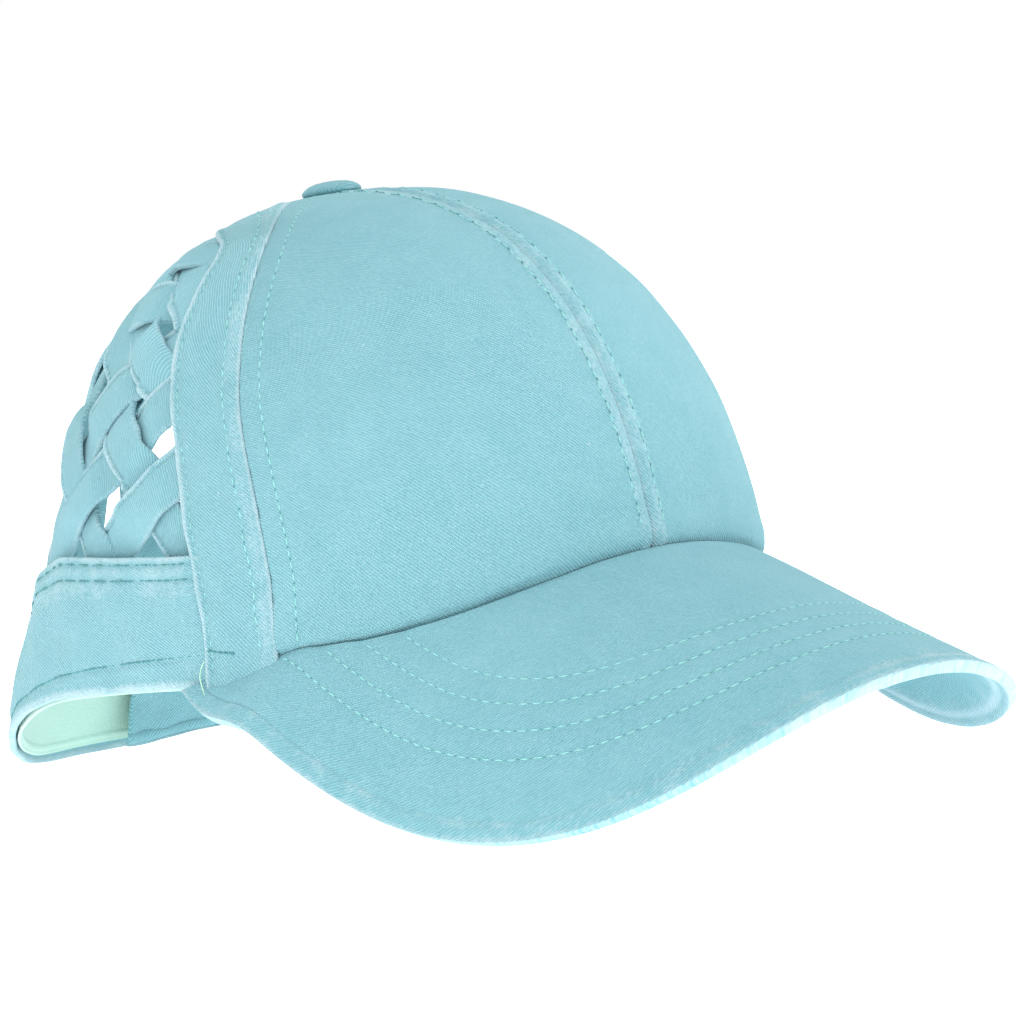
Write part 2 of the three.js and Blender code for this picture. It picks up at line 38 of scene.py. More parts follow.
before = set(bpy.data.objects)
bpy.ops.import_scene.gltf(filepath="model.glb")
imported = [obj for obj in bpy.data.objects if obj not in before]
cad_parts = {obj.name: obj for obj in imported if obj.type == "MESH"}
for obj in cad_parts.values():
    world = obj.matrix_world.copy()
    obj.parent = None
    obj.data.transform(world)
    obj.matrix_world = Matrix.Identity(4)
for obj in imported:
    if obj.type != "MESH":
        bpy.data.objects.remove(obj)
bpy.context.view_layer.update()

# Head shell, in millimetres, ahead is towards the peak
HALF_WIDTH = 79.5
FRONT_REACH = 92.0
BACK_REACH = 99.0
CROWN_HEIGHT = 117.5
TOP_SETBACK = 3.5
PLAN_FRONT_POWER = 2.24
PLAN_BACK_POWER = 2.5
PROFILE_FRONT = {"out": 2.16, "up": 2.34}
PROFILE_SIDE = {"out": 2.35, "up": 2.24}
PROFILE_BACK = {"out": 1.22, "up": 1.65}
BACK_FLARE = 5.0
BACK_KICK = 4.0
FLARE_SHARE = 0.38
RIM_BACK_HEIGHT = -15.0
RIM_FALL = ((0, 0), (0.25, 0.02), (0.36, 0.18), (0.46, 0.44), (0.56, 0.7), (0.7, 0.93), (1, 1))
CROWN_SKIRT = 2.0

# Peak
BRIM_ROOT_HEIGHT = 22.0
BRIM_PITCH = math.radians(22)
BRIM_BEND_ROOT = 97.5
BRIM_BEND_EDGE = 70.5
BRIM_LENGTH = 79.5
BRIM_HALF_ARC = 99.0
BRIM_WIDEST = -10.0
BRIM_FRONT_SHARE = 0.6
BRIM_SIDE_POWER = 0.91
BRIM_FRONT_POWER = 0.905
BRIM_CORNER_ANGLE = math.radians(78.5)
BRIM_CORNER_WIDTH = 3.5
BRIM_CORNER_TUCK = 6.0
BRIM_CORNER_DROP = 8.5
BRIM_DROP_START = 32.0
BRIM_DROP_RUN = 32.0

# Arch band edges, shares of the chart: side against ahead
ARCH_FRONT_FOOT = 0.905
ARCH_FRONT = (
    (0, -0.035), (0.1, 0.005), (0.35, 0.125), (0.55, 0.192),
    (0.68, 0.245), (0.8, 0.325), (0.9, 0.395), (1, 0.425),
)
ARCH_REAR_FOOT = 0.98
ARCH_REAR = (
    (0, -0.21), (0.08, -0.175), (0.18, -0.08), (0.29, 0.006), (0.42, 0.032),
    (0.56, 0.045), (0.7, 0.095), (0.85, 0.165), (0.94, 0.205), (1, 0.19),
)

# Back band and its closure
BAND_HEIGHT_SIDE = 30.4
BAND_HEIGHT_BACK = 36.0
BAND_RISE_TURN = 0.45
BAND_UNDER_ARCH = math.radians(2)
RIGHT_HALF_OVER = math.radians(33)
LEFT_HALF_OVER = math.radians(10)
TAB_STEP = math.radians(12)
TAB_CLEARANCE = math.radians(2)
TAB_DROP = 8.0
TAB_RAISE = 2.2
PAD_HEIGHT = 20.0
HOOK_PAD_RISE = 1.2
HOOK_PAD_LOW = 3.2
PAD_NAP = 0.0008
PAD_MARGIN = math.radians(4)
BAND_SINK = 0.3
BAND_SPREAD = 2.6
CLOSURE_STACK = 5.4

# Lattice: where a strap leaves the arch edge, the band angle or arch share where it arrives, and its bows
STRAPS = (
    {"leaves": -0.734, "band": -95.2, "sag": 0, "push": 0},
    {"leaves": -0.617, "band": -117, "sag": -0.05, "push": -0.28},
    {"leaves": -0.513, "band": -133, "sag": 0.41, "push": 0.22},
    {"leaves": -0.418, "band": -153, "sag": -0.09, "push": 0},
    {"leaves": -0.28, "band": 178, "sag": 0.3, "push": 0},
    {"leaves": -0.165, "band": 134, "sag": 0.3, "push": 0},
    {"leaves": -0.06, "band": 96.6, "sag": 0.25, "push": 0},
    {"leaves": 0.02, "arch": 0.895, "sag": 0.22, "push": 0.08},
    {"leaves": 0.1, "arch": 0.632, "sag": 0.2, "push": -0.02},
    {"leaves": 0.18, "arch": 0.45, "sag": 0.06, "push": 0},
)
# Number of the solid that each row stands for: rows 6 and 10 have none
STRAP_NODES = {1: 1, 2: 2, 3: 3, 4: 4, 5: 5, 7: 6, 8: 7, 9: 8}
STRAP_TUCK = 5.0
UNDER_ARCH = 1.35
UNDER_BAND = 2.4
LATTICE_LIFT = -0.35
LATTICE_EDGE = 8.0
WEAVE_REACH = 6.0
CORD = 1.5
STRAP_WALL = 0.0014
STRAP_COLUMNS = (0, 0.5, 1.4, 3.4, 6.0, 8.6, 10.0, 10.4, 10.8, 11.2, 11.7, 12.3)
STRAP_STEP = 1.9

# Points that outer faces look away from
SHELL_HUB = (0, 0, 40)
PEAK_HUB = (0, 120, -400)

# Stitch rows, millimetres from the edge or seam that they follow
SEAM_ROW = 4.4
PANEL_SIDE_ROW = 5.6
ARCH_FRONT_ROW = 5.4
ARCH_REAR_ROW = 2.1
BAND_TOP_ROWS = (1.9, 5.5)
PAD_ROW = 2.0
BRIM_ROWS = (18.0, 24.8, 31.6, 38.4)

# Folds beside edges and stitch rows: their distance, reach and height in millimetres
PANEL_SEAM_FOLDS = ((0, 0.7, -0.9), (2.2, 1.3, 0.3), (SEAM_ROW, 0.8, -0.22))
PANEL_SIDE_FOLDS = ((PANEL_SIDE_ROW, 0.8, -0.2),)
PANEL_LOW_FOLDS = ((7, 3, 0.5),)
ARCH_FRONT_FOLDS = ((0, 0.45, -0.7), (1.3, 0.8, 0.25), (ARCH_FRONT_ROW, 0.9, -0.24))
ARCH_REAR_FOLDS = ((0.7, 0.75, 0.3), (2.0, 0.5, -0.4))
BAND_TOP_FOLDS = (
    (0.9, 0.8, 0.3), (BAND_TOP_ROWS[0], 0.5, -0.25), (3.6, 1.2, 0.25), (BAND_TOP_ROWS[1], 0.7, -0.3),
)
BAND_HEM_FOLD = (1.5, 1.3, 0.25)
BRIM_EDGE_FOLDS = ((2.2, 1.4, 0.15), (4.6, 0.7, -0.2))
BRIM_ROW_FOLDS = ((0, 0.8, -0.22), (3.4, 2.2, 0.05))
STRAP_FOLDS = ((CORD, 0.38, -0.75), (0.6, 0.5, 0.25))

# Gathers across stitch rows: their distance and height, and the length of one gather
PANEL_SEAM_GATHERS = (3.4, 0.2, 5.2)
PANEL_SIDE_GATHERS = (4.0, 0.14, 6.1)
PANEL_LOW_GATHERS = (5.0, 0.13, 9.0)
ARCH_FRONT_GATHERS = (4.0, 0.2, 6.8)
ARCH_REAR_GATHERS = (4.0, 0.2, 8.3)
BAND_TOP_GATHERS = (3.7, 0.34, 5.6)

# Soft waves of washed cloth: their length, height and seed
CROWN_WAVES = ((55, 0.55, 3), (21, 0.12, 4))
ARCH_WAVES = ((13, 0.45, 12), (7, 0.15, 13))
BAND_WAVES = ((22, 0.55, 21), (9, 0.16, 22))
PAD_WAVES = ((12, 0.2, 31),)
BRIM_WAVES = ((60, 0.28, 8), (17, 0.05, 9))

# How deep a front panel dips under the arch band and behind the peak's root
PANEL_UNDER_ARCH = 1.6
PANEL_BEHIND_BRIM = 1.9

# Run of a piece, for what repeats along it
ARCH_HALF_RUN = 165
BAND_RUN = 165
BAND_RADIUS = 82
BRIM_SPAN = 200

# Rest pose of the frame: nose-up tilt, then the shift that stands it on the floor
REST_TILT = 0.06873
REST_SHIFT = np.array((0.0, 29.98, 22.74))
MM = 0.001

# Twill ridges, for a cloth map that counts decimetres
TWILL_SCALE = 49.0
PANEL_TWILL = math.radians(-48)
BAND_TWILL = math.radians(-34)
BRIM_TWILL = math.radians(-3)
STRAP_TWILL = {"right": math.radians(-11), "left": math.radians(60)}

# Camera of the photograph, in the shell's own millimetres
CAMERA_AZIMUTH = math.radians(41.206)
CAMERA_ELEVATION = math.radians(1.977)
CAMERA_DISTANCE = 816.8
CAMERA_ROLL = math.radians(-8.581)
CAMERA_TARGET = (0.0, 45.19, 35.24)
CAMERA_FOCUS = 3460.5
FRAME_PIXELS = 1024
SENSOR_WIDTH = 36.0

# The floor is lit from below, like a light table
FLOOR_GLOW = 1.1

# Area lights: name, place, width and height in metres, power in watts
LIGHTS = (
    ("key_light", (-0.15, -0.35, 1.9), 1.0, 1.0, 14.0),
    ("low_fill", (-0.8, -0.9, 0.11), 1.1, 0.18, 1.5),
    ("side_fill", (1.1, -0.7, 0.6), 1.0, 1.0, 4.0),
    ("back_light", (-0.5, 1.3, 1.2), 1.2, 1.2, 4.0),
)
LIGHT_AIM = (0, 0, 0.06)

# Half section of the button, as shares of its radius and height
BUTTON_PROFILE = (
    (0, 1.0), (0.3, 0.985), (0.55, 0.93), (0.75, 0.82), (0.9, 0.66), (0.985, 0.5), (1.0, 0.36),
    (0.97, 0.26), (0.93, 0.23), (0.92, 0.17), (0.95, 0.1), (0.9, 0.0), (0.6, -0.08), (0, -0.1),
)

# How the loose thread end falls from the arch band, in millimetres
THREAD_FALL = ((0, 0, 0.4), (-1.2, -0.6, -1.5), (-1.8, -0.4, -4), (-1.3, 0.6, -7), (-1.6, 0.2, -9.5))
THREAD_END_COLOUR = (0.45, 0.72, 0.52)
# Painted shade: colour of the dark spots put between stitches to stand for the shadow in each needle hole
HOLE_SHADE = (0.06, 0.22, 0.26)
FLECK_COLOUR = (0.58, 0.70, 0.74)


def length(name, description, default):
    return bpy.props.FloatProperty(name=name, description=description, default=default, unit="LENGTH")


def colour(name, description, default):
    return bpy.props.FloatVectorProperty(
        name=name, description=description, subtype="COLOR", size=3, min=0, max=1, default=default)


class CapSizes(bpy.types.PropertyGroup):
    """Sizes that a maker would change, in metres"""

    strap_width: length("Strap width", "Width of one folded lattice strap", 0.0123)
    strap_rise: length("Strap rise", "How far a strap goes over and under the others", 0.0012)
    cloth: length("Cloth", "Thickness of a crown panel", 0.0013)
    band_cloth: length("Band cloth", "Thickness of the folded back band", 0.0018)
    brim_board: length("Peak thickness", "Board and both cloth layers together", 0.0030)
    stitch: length("Stitch", "Length of one stitch with its gap", 0.0027)
    thread: length("Thread", "Thickness of the sewing thread", 0.00040)
    button_radius: length("Button radius", "Radius of the covered button", 0.0074)
    button_height: length("Button height", "Height of the covered button", 0.0042)


class CapColours(bpy.types.PropertyGroup):
    """Colours of the cloth and thread"""

    cloth: colour("Cloth", "Dyed twill, between the ridges", (0.112, 0.335, 0.392))
    pale: colour("Washed", "Twill ridges where the dye has washed out", (0.262, 0.495, 0.548))
    worn: colour("Worn edge", "Rubbed edges and seams", (0.415, 0.580, 0.635))
    loops: colour("Loop pad", "Napped fastener pads", (0.45, 0.65, 0.57))
    thread_pale: colour("Pale thread", "Thread of the crown and peak", (0.24, 0.54, 0.52))
    thread_dark: colour("Dark thread", "Thread of the back band", (0.05, 0.22, 0.22))
    floor: colour("Floor", "Plain pale floor", (0.99, 0.99, 0.99))


def ease(share):
    t = np.clip(share, 0, 1)
    return t * t * (3 - 2 * t)


def mix(start, end, share):
    return start + (end - start) * share


def bell(distance, reach):
    """1 at no distance, fading out over the reach."""
    return np.exp(-((distance / reach) ** 2))


def folds(distance, rows):
    """Height of an edge's folds, from rows of their distance, reach and height."""
    return sum(height * bell(distance - at, reach) for at, reach, height in rows)


def signed_power(value, power):
    return np.sign(value) * np.abs(value) ** power


def read_table(rows, at):
    """Smooth reading of a table of two columns, with flat ends."""
    keys = np.array([row[0] for row in rows], float)
    values = np.array([row[1] for row in rows], float)
    last = len(rows) - 1
    slopes = np.empty(last + 1)
    for k in range(last + 1):
        low, high = max(k - 1, 0), min(k + 1, last)
        slopes[k] = 0 if k == 0 else (values[high] - values[low]) / (keys[high] - keys[low])
    spot = np.clip(np.asarray(at, float), keys[0], keys[-1])
    i = np.clip(np.searchsorted(keys, spot, side="right") - 1, 0, last - 1)
    span = keys[i + 1] - keys[i]
    t = (spot - keys[i]) / span
    return (
        (2 * t**3 - 3 * t**2 + 1) * values[i] + (t**3 - 2 * t**2 + t) * span * slopes[i]
        + (3 * t**2 - 2 * t**3) * values[i + 1] + (t**3 - t**2) * span * slopes[i + 1]
    )


def plan_point(angle):
    c = np.cos(angle)
    power = 2 / np.where(c > 0, PLAN_FRONT_POWER, PLAN_BACK_POWER)
    reach = np.where(c > 0, FRONT_REACH, BACK_REACH)
    return HALF_WIDTH * signed_power(np.sin(angle), power), reach * signed_power(c, power)


def brim_bend(run):
    return mix(BRIM_BEND_ROOT, BRIM_BEND_EDGE, np.clip(run / BRIM_LENGTH, -0.5, 1))


def brim_point(arc, run):
    bend = brim_bend(run)
    sag = -bend * (1 - np.cos(arc / bend))
    drop = BRIM_CORNER_DROP * ease((-run - BRIM_DROP_START) / BRIM_DROP_RUN)
    return np.stack([
        bend * np.sin(arc / bend),
        FRONT_REACH + run * math.cos(BRIM_PITCH) + sag * math.sin(BRIM_PITCH),
        BRIM_ROOT_HEIGHT - run * math.sin(BRIM_PITCH) + sag * math.cos(BRIM_PITCH) - drop,
    ], -1)


def brim_shares(x, ahead):
    run = np.zeros_like(np.asarray(x, float))
    for _ in range(8):
        bend = np.maximum(brim_bend(run), np.abs(x) * 1.01)
        sag = np.sqrt(bend * bend - x * x) - bend
        run = (ahead - FRONT_REACH - sag * math.sin(BRIM_PITCH)) / math.cos(BRIM_PITCH)
    bend = np.maximum(brim_bend(run), np.abs(x) * 1.01)
    return bend * np.arcsin(x / bend), run


def turn_behind(angle):
    return np.clip((np.abs(angle) - BRIM_CORNER_ANGLE) / (math.pi - BRIM_CORNER_ANGLE), 0, 1)


def wrap_angle(angle):
    return np.arctan2(np.sin(angle), np.cos(angle))


def rim_height(raw):
    angle = wrap_angle(raw)
    x, ahead = plan_point(np.clip(angle, -BRIM_CORNER_ANGLE, BRIM_CORNER_ANGLE))
    height = brim_point(*brim_shares(x, ahead))[..., 2]
    return mix(height, RIM_BACK_HEIGHT, read_table(RIM_FALL, turn_behind(angle)))


def profile(angle, key):
    c = np.cos(angle)
    front = np.maximum(c, 0) ** 1.5
    back = np.maximum(-c, 0) ** 1.5
    side = PROFILE_SIDE[key]
    return side + (PROFILE_FRONT[key] - side) * front + (PROFILE_BACK[key] - side) * back


def chart_point(side, ahead):
    """Crown's outer face from a flat chart: the top at 0, the rim at radius 1."""
    radius = np.hypot(side, ahead)
    angle = np.arctan2(side, ahead)
    lift = (1 - np.minimum(radius, 1)) * math.pi / 2
    x, plan_ahead = plan_point(angle)
    out = np.cos(lift) ** (2 / profile(angle, "out"))
    up = np.sin(lift) ** (2 / profile(angle, "up"))
    low = np.clip(1 - up / FLARE_SHARE, 0, 1) ** 1.3 * ease((0.15 - np.cos(angle)) / 0.6)
    from_top = plan_ahead + TOP_SETBACK
    flare = 1 + BACK_FLARE * low / np.hypot(x, from_top)
    skirt = np.maximum(radius - 1, 0) * CROWN_HEIGHT
    return np.stack([
        x * out * flare,
        from_top * out * flare - TOP_SETBACK - BACK_KICK * low * np.maximum(-np.cos(angle), 0),
        mix(rim_height(angle), CROWN_HEIGHT, up) - skirt,
    ], -1)


def unit(vectors):
    return vectors / np.maximum(np.linalg.norm(vectors, axis=-1, keepdims=True), 1e-9)


def chart_frame(side, ahead):
    step = 0.004
    point = chart_point(side, ahead)
    along_side = (chart_point(side + step, ahead) - chart_point(side - step, ahead)) / (2 * step)
    along_ahead = (chart_point(side, ahead + step) - chart_point(side, ahead - step)) / (2 * step)
    outward = unit(np.cross(along_side, along_ahead))
    inside = point - np.array((0, -TOP_SETBACK, RIM_BACK_HEIGHT))
    outward = outward * np.where(np.sum(outward * inside, -1, keepdims=True) < 0, -1, 1)
    return point, along_side, along_ahead, outward


def ripple(points, length, amount, seed):
    """A few crossed waves of about one length, the same every run."""
    draw = np.random.default_rng(seed)
    ways = unit(draw.normal(size=(7, 3)))
    pace = 2 * math.pi / length * draw.uniform(0.6, 1.5, 7)
    start = draw.uniform(0, 2 * math.pi, 7)
    return amount * np.sum(np.sin(points @ ways.T * pace + start), -1) / 3.5


def ripples(points, waves):
    return sum(ripple(points, *wave) for wave in waves)


def on_crown(side, ahead, lift):
    """A point of the crown, lifted off the shell, with the slack that washed cloth has."""
    point, _, _, outward = chart_frame(side, ahead)
    return point + outward * (np.asarray(lift) + ripples(point, CROWN_WAVES))[..., None]


def chart_at(angle, radius):
    return radius * np.sin(angle), radius * np.cos(angle)


def arch_front(share):
    return ARCH_FRONT_FOOT * share, read_table(ARCH_FRONT, np.abs(share))


def arch_rear(share):
    return ARCH_REAR_FOOT * share, read_table(ARCH_REAR, np.abs(share))


def skirted(side, ahead):
    scale = (1 + CROWN_SKIRT / CROWN_HEIGHT) / np.hypot(side, ahead)
    return side * scale, ahead * scale


def radius_at(angle, height):
    share = np.clip(height, 0, CROWN_HEIGHT) / (CROWN_HEIGHT - rim_height(angle))
    drop = np.minimum(height, 0) / CROWN_HEIGHT
    return 1 - np.arcsin(share ** (profile(angle, "up") / 2)) / (math.pi / 2) - drop


def band_height(angle):
    return mix(BAND_HEIGHT_SIDE, BAND_HEIGHT_BACK, ease(turn_behind(wrap_angle(angle)) / BAND_RISE_TURN))


def rear_turn(height):
    """Turn of the arch band's rear edge at a height over the rim."""
    low, high = np.full_like(height, 0.8), np.ones_like(height)
    for _ in range(24):
        middle = (low + high) / 2
        side, ahead = arch_rear(middle)
        inside = np.hypot(side, ahead) < radius_at(np.arctan2(side, ahead), height)
        low, high = np.where(inside, middle, low), np.where(inside, high, middle)
    return np.arctan2(*arch_rear(low))


def to_world(points):
    """Shell millimetres (side, ahead, up) to the frame's metres."""
    y = -points[..., 1]
    z = points[..., 2]
    c, s = math.cos(REST_TILT), math.sin(REST_TILT)
    turned = np.stack([points[..., 0], y * c + z * s, z * c - y * s], -1)
    return (turned + REST_SHIFT) * MM


def sizes():
    return bpy.context.scene.cap_sizes


def pucker(along, distance, row, amount, pace):
    """Small gathers across a stitch row."""
    wave = np.sin(along * 2 * math.pi / pace + 1.3 * np.sin(along / 11.0))
    return amount * wave * bell(distance - row, 3.2)


def rows_length(points):
    steps = np.linalg.norm(np.diff(points, axis=1), axis=-1)
    return np.concatenate([np.zeros((points.shape[0], 1)), np.cumsum(steps, 1)], 1)


def path_length(points):
    return rows_length(points[None])[0]


def along_path(points, run, where):
    """Points of a sampled path at the given lengths along it."""
    return np.stack([np.interp(where, run, points[:, k]) for k in range(3)], -1)


def spaced(length, fine, reach, coarse):
    """Shares of a length, close together near both ends."""
    near = np.arange(0, reach, fine)
    far = np.linspace(reach, length - reach, max(2, int((length - 2 * reach) / coarse)))
    return np.concatenate([near, far, (length - near)[::-1]]) / length


def cloth_sheet(name, us, vs, place, wall, twill, wear=None, centre=SHELL_HUB, shift=-1.0):
    """A cloth piece: a grid whose vertices are laid on the shell, then given its thickness.

    place(u, v) gives millimetre points. The map follows real lengths, turned by the twill angle."""
    columns, rows = len(us) - 1, len(vs) - 1
    bm = bmesh.new()
    bmesh.ops.create_grid(bm, x_segments=columns, y_segments=rows, size=0.5)
    bm.verts.ensure_lookup_table()
    spots = np.array([(v.co.x + 0.5, v.co.y + 0.5) for v in bm.verts])
    column = np.rint(spots[:, 0] * columns).astype(int)
    row = np.rint(spots[:, 1] * rows).astype(int)
    order = np.lexsort((column, row))
    u, v = us[column[order]], vs[row[order]]
    points = place(u, v)
    grid = points.reshape(rows + 1, columns + 1, 3)
    across = rows_length(grid).ravel()
    along = rows_length(grid.transpose(1, 0, 2)).T.ravel()
    turns = twill(us) if callable(twill) else np.full(len(us), twill)
    steps = np.diff(across.reshape(rows + 1, columns + 1), axis=1, prepend=0)
    middle = (turns + np.roll(turns, 1)) / 2
    run_cos = np.cumsum(steps * np.cos(middle), 1).ravel()
    run_sin = np.cumsum(steps * np.sin(middle), 1).ravel()
    turn = np.tile(turns, rows + 1)
    chart = np.stack([run_cos + along * np.sin(turn), along * np.cos(turn) - run_sin], -1) / 100
    worn = np.zeros(len(u)) if wear is None else wear(u, v)
    world = to_world(points)
    uv_of = np.empty((len(order), 2))
    wear_of = np.empty(len(order))
    for k, i in enumerate(order):
        bm.verts[int(i)].co = world[k]
        uv_of[i] = chart[k]
        wear_of[i] = worn[k]
    layer = bm.loops.layers.uv.new("Cloth")
    bm.verts.index_update()
    for face in bm.faces:
        for loop in face.loops:
            loop[layer].uv = uv_of[loop.vert.index]
    bm.normal_update()
    hub = Vector(to_world(np.array(centre, float)))
    facing = sum(f.normal.dot(f.calc_center_median() - hub) for f in bm.faces)
    if facing < 0:
        bmesh.ops.reverse_faces(bm, faces=bm.faces)
    piece = finish_mesh(name, bm)
    attribute = piece.data.attributes.new("wear", "FLOAT", "POINT")
    attribute.data.foreach_set("value", wear_of.astype(np.float32))
    solid = piece.modifiers.new("Thickness", "SOLIDIFY")
    solid.thickness = wall
    solid.offset = shift
    smooth = piece.modifiers.new("Smooth", "SUBSURF")
    smooth.levels = smooth.render_levels = 1
    return piece


def finish_mesh(name, bm):
    mesh = bpy.data.meshes.new(name)
    bm.to_mesh(mesh)
    bm.free()
    mesh.shade_smooth()
    piece = bpy.data.objects.new(name, mesh)
    bpy.context.scene.collection.objects.link(piece)
    return piece


def dress(piece, finish, slot, *nodes):
    piece.data.materials.append(finish)
    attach(piece, "root")
    if nodes:
        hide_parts(*nodes)
    return piece


def pour(batch, bed):
    """Moves a small batch of stitches into the whole row's mesh."""
    mesh = bpy.data.meshes.new("batch")
    batch.to_mesh(mesh)
    batch.free()
    bed.from_mesh(mesh)
    bpy.data.meshes.remove(mesh)
    return bmesh.new()


def stitch_row(bm, hole_shadows, place, u, v, centre=SHELL_HUB, pace=1.0, width=1.0, fill=0.74):
    """Adds one row of stitches along a path in a piece's own shares, with a dark spot of painted shade at
    each needle hole between them.
    """
    pitch = sizes().stitch / MM * pace
    fine = place(u, v)
    run = path_length(fine)
    count = int(run[-1] / pitch)
    middle = (np.arange(count) + 0.5) * run[-1] / count
    radius = sizes().thread / 2 * width
    # The second bed gets short dark spots between the stitches: painted shade standing for the shadow in
    # each needle hole
    for bed, where, length, thick, sunk in (
        (bm, middle, pitch * fill, 1.0, 0.3), (hole_shadows, middle + pitch / 2, pitch * 0.3, 1.15, -0.1),
    ):
        spot = along_path(fine, run, where)
        along = unit(along_path(fine, run, where + pitch * 0.4) - along_path(fine, run, where - pitch * 0.4))
        su, sv = np.interp(where, run, u), np.interp(where, run, v)
        eps = 0.004
        du = place(su + eps, sv) - place(su - eps, sv)
        dv = place(su, sv + eps) - place(su, sv - eps)
        normal = unit(np.cross(du, dv))
        facing = np.sum(normal * (spot - np.array(centre, float)), -1, keepdims=True)
        normal = normal * np.where(facing < 0, -1, 1)
        base = to_world(spot)
        spots = to_world(spot + normal * (radius / MM * sunk))
        batch = bmesh.new()
        ways = to_world(spot + along) - base, to_world(spot + normal) - base
        for k, (p, t, n) in enumerate(zip(spots, *ways)):
            if k % 24 == 23:
                batch = pour(batch, bed)
            x, z = Vector(t).normalized(), Vector(n).normalized()
            y = z.cross(x).normalized()
            frame_at = Matrix((
                (x[0], y[0], z[0], p[0]), (x[1], y[1], z[1], p[1]), (x[2], y[2], z[2], p[2]), (0, 0, 0, 1)))
            size = Matrix.Diagonal((length * MM / 2, radius * thick, radius * 0.8, 1))
            bmesh.ops.create_uvsphere(batch, u_segments=6, v_segments=4, radius=1, matrix=frame_at @ size)
        pour(batch, bed).free()


UNDER_TURN = 2.4
ARCH_LINE = chart_point(*arch_front(np.linspace(-1, 1, 321)))
RIM_TURNS = np.linspace(-1.3, 1.3, 161)
RIM_LINE = chart_point(np.sin(RIM_TURNS), np.cos(RIM_TURNS))


def nearest(points, line):
    """Millimetres from each point to a sampled line."""
    gap = np.linalg.norm(points[..., None, :] - line, axis=-1)
    return np.min(gap, -1)


def panel_gaps(side, ahead):
    """Millimetres from the centre seam, from the arch band's edge and from the bottom."""
    point = chart_point(side, ahead)
    share = np.clip(side / ARCH_FRONT_FOOT, 0, 1)
    sign = np.where(ahead > arch_front(share)[1], 1, -1)
    return np.abs(point[..., 0]), nearest(point, ARCH_LINE) * sign, nearest(point, RIM_LINE)


def panel_face(hand):
    """Front panel's face from chart spots, for either hand."""
    def face(side, ahead):
        side, ahead = np.asarray(side, float), np.asarray(ahead, float)
        seam, sewn, low = panel_gaps(side, ahead)
        run = np.hypot(side, ahead) * CROWN_HEIGHT
        lift = folds(seam, PANEL_SEAM_FOLDS) + folds(sewn, PANEL_SIDE_FOLDS) + folds(low, PANEL_LOW_FOLDS)
        lift = lift - PANEL_UNDER_ARCH * (1 - ease((sewn + 1.5) / 1.6))
        lift = lift - PANEL_BEHIND_BRIM * (1 - ease((low - 2.0) / 1.3))
        lift = lift + pucker(seam, low, *PANEL_LOW_GATHERS)
        lift = lift + pucker(run, seam, *PANEL_SEAM_GATHERS) + pucker(run + 20, sewn, *PANEL_SIDE_GATHERS)
        return on_crown(hand * side, ahead, lift)
    return face


def panel_spot(u, v):
    """Chart spot of a front panel, from the centre seam to just under the arch band, bottom to top."""
    u, v = np.asarray(u, float), np.asarray(v, float)
    gap = -0.2 / CROWN_HEIGHT
    turn = -UNDER_TURN / CROWN_HEIGHT
    foot_side, foot_ahead = arch_front(np.array(1.0))
    foot_angle = math.atan2(foot_side, foot_ahead + turn)

    def foot(u):
        side, ahead = skirted(*chart_at(foot_angle * u, np.ones_like(u)))
        return side + gap * (1 - u), ahead

    def top(u):
        side, ahead = arch_front(0.5 * u)
        return side + gap * (1 - u), ahead + turn

    def left(v):
        low, high = foot(np.zeros_like(v))[1], top(np.zeros_like(v))[1]
        return np.full_like(v, gap), mix(low, high, v)

    def right(v):
        side, ahead = arch_front(mix(1, 0.5, v))
        ahead = ahead + turn
        low_side, low_ahead = foot(np.ones_like(v))
        blend = 1 - ease(v * 8)
        return side + (low_side - foot_side) * blend, ahead + (low_ahead - foot_ahead - turn) * blend

    one, none = np.ones_like(u), np.zeros_like(u)
    spot = []
    for k in (0, 1):
        ruled = mix(foot(u)[k], top(u)[k], v) + mix(left(v)[k], right(v)[k], u)
        low = mix(foot(none)[k], foot(one)[k], u)
        high = mix(top(none)[k], top(one)[k], u)
        spot.append(ruled - mix(low, high, v))
    return spot


def chart_step(side, ahead, way):
    """Chart change that moves a spot by a small vector."""
    _, a, b, _ = chart_frame(side, ahead)
    aa, ab, bb = np.sum(a * a, -1), np.sum(a * b, -1), np.sum(b * b, -1)
    pa, pb = np.sum(a * way, -1), np.sum(b * way, -1)
    det = aa * bb - ab * ab
    return (pa * bb - pb * ab) / det, (pb * aa - pa * ab) / det


def beside_arch(share, distance):
    """Chart spots at a distance ahead of the arch band's front edge."""
    side, ahead = arch_front(share)
    point, _, _, outward = chart_frame(side, ahead)
    tangent = unit(np.gradient(point, axis=0))
    way = unit(np.cross(tangent, outward))
    way = way * np.where(way[..., 1:2] < 0, -1, 1) * distance
    step = chart_step(side, ahead, way)
    return side + step[0], ahead + step[1]


def edge_wear(edges):
    """Wear share from distances to edges: each a function of the shares, with its reach and amount."""
    def wear(u, v):
        total = np.zeros_like(u)
        for distance, reach, amount in edges:
            total = np.maximum(total, amount * bell(distance(u, v), reach))
        return total
    return wear


ARCH_WIDTH = ((0, 17), (0.4, 18.5), (0.6, 21.8), (1, 23.4))


def arch_gaps(u, v):
    """Millimetres from the arch band's front edge, from its rear edge and along it."""
    along = mix(-1, 1, u)
    wide = read_table(ARCH_WIDTH, np.abs(along))
    return (1 - v) * wide, v * wide, along * ARCH_HALF_RUN


